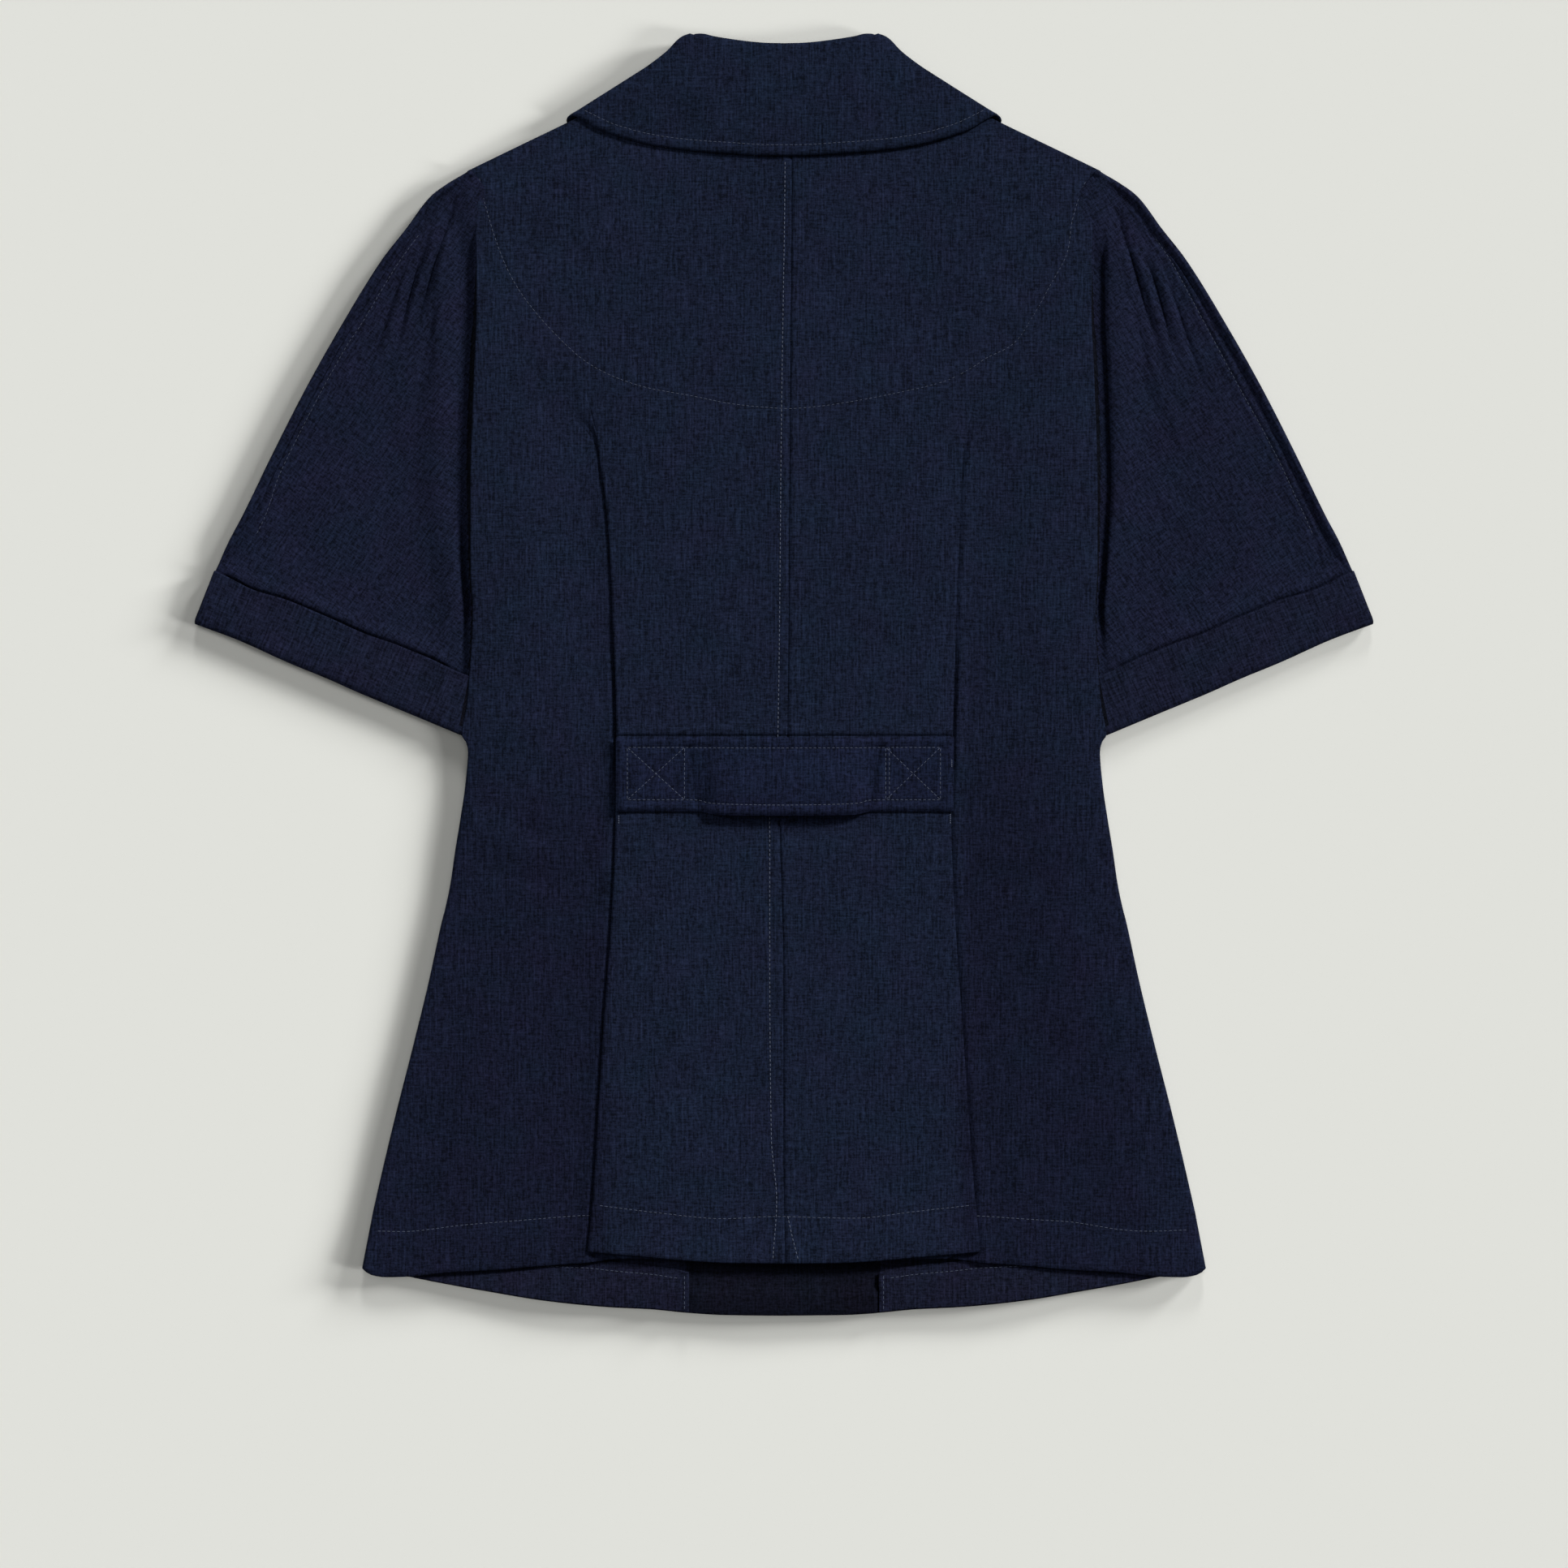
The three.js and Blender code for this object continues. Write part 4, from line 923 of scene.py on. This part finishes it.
    # the line of the overarm topstitching, for the thread
    k = (rows > 50) & (rows < ln[9] - 2)
    return np.stack([s * (ix + dx * st)[k, 0], (iy + dy * st)[k, 0]], axis=-1)[::6]


OVER_L = sleeve(-1, "left", M_SLEEVE_L)
OVER_R = sleeve(1, "right", M_SLEEVE_R)

# --------------------------------------------------------------------- cuffs
CUFF_LOW = [(0, 0.0), (28, 1.2), (60, 0.3), (80, 0.5), (105, 0.0), (135, 0.2), (170, 0.2)]


def cuff(s, side, mat):
    tab = np.array(CUFF, float)
    t = np.concatenate([[0, 0.01, 0.025, 0.05], np.linspace(0.09, 0.93, 18), [0.96, 0.985, 1.0]])
    kk = [0, 0.22, 0.48, 1.0]
    ox, oy, ix, iy = (np.interp(t, kk, tab[:, c])[:, None] for c in range(4))
    w = np.hypot(ox - ix, oy - iy)
    dx, dy = (ox - ix) / w, (oy - iy) / w
    f_top, f_low = curve(CUFF_TOP), curve(CUFF_LOW)
    T = t[:, None]
    fat = 1.0 - 0.85 * np.exp(-(T / 0.035) ** 1.3)      # the fold at the lower edge closes the ring
    lo = lambda d: 0.62 + LAYER * smooth((206 - (ix + dx * d)) / 18)
    hi = lambda d: lo(d) + mix(3.7, 5.0, smooth((ix + dx * d - 182) / 22)) - 2.0 * np.exp(-(np.maximum(d, 0) / 4.5) ** 2)   # thins out beside the body
    cols = []
    run = np.linspace(0, 1, 70)
    for f in run:
        d = mix(2.4, w - 2.3, f)
        cols.append((d, mix(mix(lo(d), hi(d), 0.42), lo(d), fat), 0.0))
    for k in range(1, 10):
        an = math.pi * (k / 10 - 0.5)
        c = (lo(w) + hi(w)) / 2
        cols.append((w - 2.3 + 2.3 * math.cos(an) * mix(0.6, 1, fat), c + 2.25 * math.sin(an) * fat, 0.0))
    for f in run[::-1]:
        d = mix(2.4, w - 2.3, f)
        cols.append((d, mix(mix(lo(d), hi(d), 0.58), hi(d), fat), 1.0))
    for k in range(1, 10):
        an = math.pi * (0.5 + k / 10)
        c = (lo(0) + hi(0)) / 2
        cols.append((2.4 + 2.3 * math.cos(an) * mix(0.6, 1, fat), c + 0.5 * (hi(0) - lo(0)) * math.sin(an) * fat, 0.0))
    D = np.concatenate([np.broadcast_to(c[0], T.shape) for c in cols], axis=1)
    Z = np.concatenate([np.broadcast_to(c[1], T.shape) for c in cols], axis=1)
    U = np.concatenate([np.full(T.shape, c[2]) for c in cols], axis=1)
    fromout = w - D
    off = f_top(fromout) * smooth((T - 0.2) / 0.8) + f_low(fromout) * (1 - smooth(T / 0.8)) * 0.9
    nx, ny = -dy, dx            # across the cuff, towards the shoulder
    X, Y = ix + dx * D + nx * off, iy + dy * D + ny * off
    X = X + nx * 0
    Z = Z + U * (0.25 * value_noise(s * X, Y, 22, 41) * smooth(T * 5) + 0.3 * smooth((T - 0.86) / 0.14) + 0.25 * value_noise(fromout, 0 * fromout, 16, 43) * T)
    uv = np.stack([s * X, Y + U * 0.0], axis=-1)
    ob = shell("cuff_" + side, np.stack([s * X, Y, Z], axis=-1), 1.15, uv, mat, ring=True)
    # painted shade: the cuff's end beside the body's edge gets the near-black crevice colour in place of the shadow the
    # body casts on it
    ob.data.materials.append(M_CREVICE_SHADE_L if s < 0 else M_CREVICE_SHADE_R)
    co = np.array([tuple(p.center * 1000) + (p.normal.z,) for p in ob.data.polygons])
    ob.data.polygons.foreach_set("material_index", ((np.abs(co[:, 0]) - f_edge(co[:, 1]) < 1.15) & (co[:, 3] > 0)).astype(int))
    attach(ob, "root"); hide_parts("cuff_" + side)


cuff(-1, "left", M_CUFF_L)
cuff(1, "right", M_CUFF_R)

# -------------------------------------------------------------------- collar


def collar():
    tab = np.array(COLLAR, float)
    n = len(tab)
    # arc length along the leaf edge decides the spacing of the sections
    e = np.concatenate([[0], np.cumsum(np.linalg.norm(np.diff(tab[:, 6:9], axis=0), axis=1) + 0.35 * np.linalg.norm(np.diff(tab[:, 3:6], axis=0), axis=1))])
    q = np.concatenate([np.linspace(0, e[8], 56, endpoint=False), np.linspace(e[8], e[11], 26, endpoint=False), np.linspace(e[11], e[-1], 30)])
    rows = [(e[i], *tab[i]) for i in range(n)]
    c = [curve(rows, k + 1)(q) for k in range(9)]
    half = np.stack(c, axis=-1)
    full = np.concatenate([half[::-1][:-1] * 1.0, half])
    sg = np.concatenate([-np.ones(len(half) - 1), np.ones(len(half))])[:, None]
    nx, ny, nz, rx, ry, rz, ex, ey, ez = (full[:, k:k + 1] for k in range(9))
    up = smooth((rz - 3.9) / 1.6)                       # 1 on the back, 0 on the front
    cols = []
    for f in np.linspace(0, 1, 12)[:-1]:                # stand
        cols.append((mix(nx, rx, f * 0.97), mix(ny, ry - 0.6, f * 0.97), mix(nz, rz - 0.9 * up, f)))
    for k in range(0, 7):                               # roll
        an = math.pi * (k / 6 - 0.5)
        ux, uy = rx - mix(nx, ex, 0.5), ry - mix(ny, ey, 0.5)
        l = np.hypot(ux, uy)
        o = 0.75 * math.cos(an) * up
        cols.append((rx + ux / l * o, ry - 0.6 + uy / l * o, rz + 0.85 * math.sin(an) * up))
    turn = smooth((ex - 95) / 15)                       # the part that rounds the shoulder
    lx, ly = ex - rx, ey - ry
    ll = np.hypot(lx, ly)
    for f in np.linspace(0, 1, 52)[1:]:                 # leaf
        bow = turn * (2.4 * math.exp(-((f - 0.07) / 0.09) ** 2) - 1.4 * smooth((f - 0.12) / 0.3) + 0.2 * smooth((f - 0.9) / 0.1))
        z = mix(rz + 0.85 * up, ez, smooth(f) * 0.5 + f * 0.5)
        swell = 0.7 * math.sin(math.pi * min(1, f * 1.02)) ** 0.7 * up
        z = z - 0.35 * up * smooth((f - 0.5) / 0.5) - 0.55 * up * smooth((f - 0.975) / 0.025)
        cols.append((mix(rx, ex, f) - ly / ll * bow, mix(ry - 0.6, ey, f) + lx / ll * bow, z + swell))
    X, Y, Z = (np.concatenate([np.broadcast_to(cc[k], nx.shape) for cc in cols], axis=1) for k in range(3))
    nleaf = 51
    f = np.concatenate([np.zeros(18), np.linspace(0, 1, 52)[1:]])[None]
    along = np.concatenate([np.zeros(18), np.ones(51)])[None]
    dist = np.hypot(ex - X, ey - Y)
    Xs = sg * X
    Z = Z + along * up * (-0.3 * np.exp(-((dist - 5.8) / 1.0) ** 2) + 0.2 * np.exp(-((dist - 2.6) / 2.0) ** 2) + 0.22 * value_noise(Xs, Y, 28, 51) + 0.07 * value_noise(Xs, Y, 10, 52))
    Z = Z + along * up * folds(Xs, Y, [(0.5, 9, 1, [(-66, 350), (-50, 332), (-30, 316)]), (0.45, 9, 1, [(66, 348), (52, 332), (34, 318)]),
                                       (-0.4, 7, 1, [(-84, 334), (-60, 318), (-38, 308)]), (-0.4, 7, 1, [(84, 334), (62, 318), (40, 308)]),
                                       (-0.35, 6, 1, [(-36, 352), (0, 349), (36, 352)])])
    t = 0.9 + (0.22 + 0.53 * up) * along * smooth((1 - f) * 60 + 0.55)   # thinner where it lies on the floor
    uv = np.stack([Xs, Y], axis=-1)
    ob = shell("collar", np.stack([Xs, Y, Z], axis=-1), np.broadcast_to(t, X.shape), uv, M_COLLAR)
    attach(ob, "root"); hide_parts("collar")
    return ob


collar()


def lapel(s, zf, name):
    tab = np.array(LAPEL, float)
    k = np.arange(len(tab))
    t = np.linspace(0, len(tab) - 1, 60)
    bx, by, ex, ey = (curve([(k[i], tab[i, c]) for i in k])(t)[:, None] for c in range(4))
    f = np.linspace(0, 1, 40)[None]
    X, Y = mix(bx, ex, f), mix(by, ey, f)
    Z = zf(s * X, Y)
    uv = np.stack([s * X, Y], axis=-1)
    ob = shell(name, np.stack([s * X, Y, Z], axis=-1), 0.9, uv, M_FRONT)
    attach(ob, "root"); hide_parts(name)


lapel(1, lambda x, y: 0.5 + 0 * x, "lapel_right")
lapel(-1, z_lapel_l, "lapel_left")

# ----------------------------------------------------------------- half-belt
f_lift = curve(BELT_LIFT)


def belt():
    x = np.concatenate([[BELT_X0, BELT_X0 + 0.3, BELT_X0 + 0.8, BELT_X0 + 1.5], np.linspace(BELT_X0 + 2.5, BELT_X1 - 2.5, 190),
                        [BELT_X1 - 1.5, BELT_X1 - 0.8, BELT_X1 - 0.3, BELT_X1]])[None]
    f = np.concatenate([[0, 0.008, 0.02, 0.04], np.linspace(0.065, 0.935, 40), [0.96, 0.98, 0.992, 1]])[:, None]
    L = f_lift(x)
    k = L / 8.4
    top = BELT_TOP - 0.4 * k - 0.2 * np.sin(x * 0.05)
    low = BELT_LOW - 2.3 * k ** 0.8
    Y = mix(top, low, f)
    X = np.repeat(x, len(f), axis=0)
    lift = 0.66 * L * mix(0.30, 1.0, smooth(f * 1.5)) * mix(1.0, 0.94, smooth((f - 0.8) / 0.2))
    Z = 8.3 + 0.35 + 0.6 + 1.0 + lift
    ends = np.minimum(x - BELT_X0, BELT_X1 - x)
    side = np.minimum(f, 1 - f) * 41.3
    rim = np.minimum(ends, side)
    Z = Z - 0.9 * np.exp(-(rim / 0.9) ** 2) + 0.25 * np.exp(-((rim - 2.0) / 1.0) ** 2)                       # edges rolled
    Z = Z - 0.55 * np.exp(-((side - 5.6) / 0.9) ** 2) * (ends > 5)   # topstitched channels
    Z = Z - 0.32 * np.exp(-((ends - 5.8) / 0.9) ** 2) * (side > 5)
    Z = Z + 0.18 * np.exp(-((side - 2.6) / 1.6) ** 2)
    for a, b in (((-88.1, -41.2), (-56.3, -70.6)), ((-88.1, -70.6), (-56.3, -41.2)), ((57.6, -41.2), (88.2, -70.6)), ((57.6, -70.6), (88.2, -41.2)),
                 ((-56.3, -41.2), (-56.3, -70.6)), ((57.6, -41.2), (57.6, -70.6))):
        d, _, _ = poly_dist(X, Y, [a, b])
        Z = Z - 0.34 * np.exp(-(d / 0.9) ** 2)
    slant = (Y - BELT_LOW) / 41.3 * 6
    Z = Z - (1.35 * np.exp(-((X + 49 + slant) / 2.4) ** 2) + 1.5 * np.exp(-((X - 48.5 - slant) / 2.4) ** 2)) * smooth((side - 1) / 5)
    Z = Z + 0.16 * value_noise(X, Y, 13, 61) + 0.07 * value_noise(X, Y, 6, 62)
    uv = np.stack([X, Y], axis=-1)
    ob = shell("back_belt", np.stack([X, Y, Z], axis=-1), 1.9, uv, M_BELT)
    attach(ob, "root"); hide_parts("back_belt")
    return ob


BELT = belt()

# ------------------------------------------------------------------- buttons


def button(name, cx, cy, r=10.0, t=2.6):
    prof = [(0, 0.75), (2.6, 0.7), (5.6, 0.62), (6.6, 0.35), (7.4, 0.08), (8.6, 0.0), (9.5, 0.25), (r, 0.9), (9.9, 1.6), (9.2, t), (0, t)]
    n = 64
    verts = [(cx, cy, prof[0][1])]
    for a, z in prof[1:-1]:
        verts += [(cx + a * math.cos(2 * math.pi * k / n), cy + a * math.sin(2 * math.pi * k / n), z) for k in range(n)]
    verts.append((cx, cy, prof[-1][1]))
    tris = []
    quads = []
    m = len(prof) - 2
    for k in range(n):
        k2 = (k + 1) % n
        tris.append((0, 1 + k2, 1 + k))
        for i in range(m - 1):
            a, b = 1 + i * n, 1 + (i + 1) * n
            quads.append((a + k, a + k2, b + k2, b + k))
        e = 1 + (m - 1) * n
        tris.append((e + k, e + k2, len(verts) - 1))
    # crossed thread of four-hole stitching, as small pieces joined in; the holes themselves are not cut
    me = bpy.data.meshes.new(name)
    V = [tuple(c * MM for c in v) for v in verts]
    F = tris + quads
    mi = [0] * len(F)
    for ang in (math.pi / 4, 3 * math.pi / 4):
        d = np.array([math.cos(ang), math.sin(ang)])
        w = np.array([-d[1], d[0]])
        for o in (-0.28, 0.28):
            base = len(V)
            for f, z in ((-2.4, 0.62), (-1.6, 0.34), (0, 0.22), (1.6, 0.34), (2.4, 0.62)):
                for a in range(6):
                    an = 2 * math.pi * a / 6
                    p = np.array([cx, cy]) + d * f + w * (o + 0.24 * math.cos(an))
                    V.append((p[0] * MM, p[1] * MM, (z + 0.2 * math.sin(an)) * MM))
            for i in range(4):
                for a in range(6):
                    a2 = (a + 1) % 6
                    F.append((base + i * 6 + a, base + i * 6 + a2, base + (i + 1) * 6 + a2, base + (i + 1) * 6 + a)); mi.append(1)
            F.append(tuple(base + a for a in range(6))[::-1]); mi.append(1)
            F.append(tuple(base + 24 + a for a in range(6))); mi.append(1)
    me.from_pydata(V, [], F)
    me.materials.append(M_BUTTON)
    me.materials.append(M_THREAD)
    me.polygons.foreach_set("material_index", mi)
    me.polygons.foreach_set("use_smooth", [True] * len(F))
    me.update()
    ob = bpy.data.objects.new(name, me)
    bpy.context.scene.collection.objects.link(ob)
    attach(ob, "root"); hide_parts(name)


for i, yy in enumerate((96, 6)):
    for j, sx in enumerate((-1, 1)):
        button("button_%d" % (i * 2 + j + 1), sx * 36, yy)

# ------------------------------------------------------------------ stitches
BL, BR = PIECES["back_left"], PIECES["back_right"]
ys = np.linspace(291, -36, 60)
upper = np.stack([f_cbst(ys), ys], axis=-1)
ys = np.linspace(-80, -331, 50)
lower = np.stack([f_cbst(ys), ys], axis=-1)
stitches("stitch_centre", [upper, lower, [(2.0, -306), (4.6, -318), (8.0, -331)]], [BL, BR], M_THREAD, r=0.27)
stitches("stitch_yoke", [YOKE], [BL, BR], M_THREAD, pitch=2.7, r=0.15, sink=0.08)
stitches("stitch_hem", [HEM_ST_C, HEM_ST_SL, HEM_ST_SR], [BL, BR], M_THREAD, pitch=2.8, r=0.17)
col_line = []
for k in range(-9, 10):
    i = abs(k)
    ex, ey, rx, ry = COLLAR[i][6], COLLAR[i][7], COLLAR[i][3], COLLAR[i][4]
    l = math.hypot(rx - ex, ry - ey)
    col_line.append((math.copysign(ex + (rx - ex) / l * 5.8, k if k else 1), ey + (ry - ey) / l * 5.8))
stitches("stitch_collar", [col_line], [PIECES["collar"]], M_THREAD, pitch=2.7, r=0.145)
stitches("stitch_sleeves", [OVER_L, OVER_R], [PIECES["sleeve_back_left"], PIECES["sleeve_back_right"]], M_THREAD, pitch=2.8, r=0.13)
bx0, bx1, by0, by1 = BELT_X0 + 5.9, BELT_X1 - 6.9, -41.2, -70.8
b_lines = [
    [(bx0, by0), (-70, by0), (-56.3, by0)], [(-56.3, by0), (-40, by0 - 0.2), (0, by0 - 0.3), (40, by0 - 0.2), (57.6, by0)], [(57.6, by0), (bx1, by0)],
    [(bx0, by1), (-56.3, by1)], [(-56.3, by1), (-48, by1 - 0.3), (-38, by1 - 2.2), (0, by1 - 3.0), (38, by1 - 2.2), (48, by1 - 0.3), (57.6, by1)], [(57.6, by1), (bx1, by1)],
    [(bx0, by0), (bx0, by1)], [(-56.3, by0), (-56.3, by1)], [(bx0, by0), (-56.3, by1)], [(bx0, by1), (-56.3, by0)],
    [(bx1, by0), (bx1, by1)], [(57.6, by0), (57.6, by1)], [(59.6, by0), (59.6, by1)], [(bx1, by0), (57.6, by1)], [(bx1, by1), (57.6, by0)]]
stitches("stitch_belt", b_lines, [BELT], M_THREAD, pitch=2.6, r=0.18)
stitches("stitch_bar", [[(-93.6, -79.6), (-93.6, -84.4)], [(94.2, -78.8), (94.2, -84.4)], [(94.9, -48), (94.9, -52.5)]], [BL, BR, BELT], M_THREAD, pitch=1.1, r=0.3, fill=0.9)
xs_ = np.linspace(60, 214, 40)
inner_l = np.stack([-xs_, f_fhem(xs_) + 21.0 * np.interp(xs_, [54, 60, 110, 200, 226], [0.86, 0.9, 1.0, 0.75, 0.45])], axis=-1)
inner_r = inner_l * np.array([-1, 1])
stitches("stitch_front_hem", [inner_l, inner_r, [(-56.4, -340.4), (-56.4, -360)], [(56.4, -340.4), (56.4, -360)]],
         [PIECES["front_hem_left"], PIECES["front_hem_right"]], M_THREAD, pitch=2.8, r=0.15)

# -------------------------------------------------- floor, lights and camera
bpy.ops.mesh.primitive_plane_add(size=8, location=(0, 0, -0.0002))
floor = bpy.context.object
floor.name = "floor"
fm = bpy.data.materials.new("floor")
fm.use_nodes = True
fb = fm.node_tree.nodes["Principled BSDF"]
fb.inputs["Base Color"].default_value = (0.75, 0.755, 0.712, 1)
fb.inputs["Roughness"].default_value = 0.95
fb.inputs["Specular IOR Level"].default_value = 0.0
floor.data.materials.append(fm)

CAM_Y = (831.5 - 966) * 0.46 * MM
cam_d = bpy.data.cameras.new("camera")
cam = bpy.data.objects.new("camera", cam_d)
bpy.context.scene.collection.objects.link(cam)
DIST = 3.2
cam.location = (0, CAM_Y, DIST + 0.006)
cam_d.sensor_width = 36
cam_d.lens = 36 * DIST / (1932 * 0.46 * MM)
cam_d.clip_end = 50
bpy.context.scene.camera = cam


def aim(ob, target=(0, 0, 0)):
    d = Vector(target) - ob.location
    ob.rotation_euler = d.to_track_quat("-Z", "Y").to_euler()


def area(name, loc, size, power, colour=(1, 1, 1), target=(0, -0.05, 0)):
    d = bpy.data.lights.new(name, "AREA")
    d.shape = "RECTANGLE"
    d.size, d.size_y = size
    d.energy = power
    d.color = colour
    o = bpy.data.objects.new(name, d)
    bpy.context.scene.collection.objects.link(o)
    o.location = loc
    aim(o, target)
    return o




def group(name, objs):
    c = bpy.data.collections.new(name)
    for o in objs:
        c.objects.link(o)
    return c


def sun(name, elevation, azimuth, strength, spread, lit, colour=(1, 1, 1)):
    """Soft distant light; azimuth 0 is the photo's right, 90 its top."""
    d = bpy.data.lights.new(name, "SUN")
    d.energy = strength
    d.angle = math.radians(spread)
    d.color = colour
    o = bpy.data.objects.new(name, d)
    bpy.context.scene.collection.objects.link(o)
    el, az = math.radians(elevation), math.radians(azimuth)
    o.location = (2 * math.cos(el) * math.cos(az), 2 * math.cos(el) * math.sin(az), 2 * math.sin(el))
    aim(o)
    o.light_linking.receiver_collection = lit
    return o


ON_FLOOR = group("lit_floor", [floor])
ON_CLOTH = group("lit_cloth", [o for o in bpy.data.objects if o.type == "MESH" and o.name != "floor"])
for k_, (el_, az_, en_) in enumerate(((17, -14, 1.88), (11.3, 16, 4.55), (12, 44, 3.15), (17, 86, 1.2))):   # a wide, low softbox
    sun("floor_key_%d" % k_, el_, az_, en_, 11, ON_FLOOR)
sun("floor_fill", 88, 90, 0.43, 60, ON_FLOOR)
sun("cloth_right", 33, 40, 3.65, 12, ON_CLOTH)
sun("cloth_left", 27, 165, 0.94, 14, ON_CLOTH)
sun("cloth_dome", 89, 90, 0.35, 140, ON_CLOTH)
world = bpy.data.worlds.new("studio")
bpy.context.scene.world = world
world.use_nodes = True
world.node_tree.nodes["Background"].inputs[0].default_value = (1, 1, 1, 1)
world.node_tree.nodes["Background"].inputs[1].default_value = 0.08
bpy.context.scene.view_settings.view_transform = "Standard"
bpy.context.scene.view_settings.look = "None"
bpy.context.scene.view_settings.exposure = 0.0

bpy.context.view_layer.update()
for n_, o_ in sorted(PIECES.items()):
    area_ = sum(p.area for p in o_.data.polygons)
    print("PIECE", n_, len(o_.data.polygons) * 2, "tris", round(area_ / 2, 5), "m2")
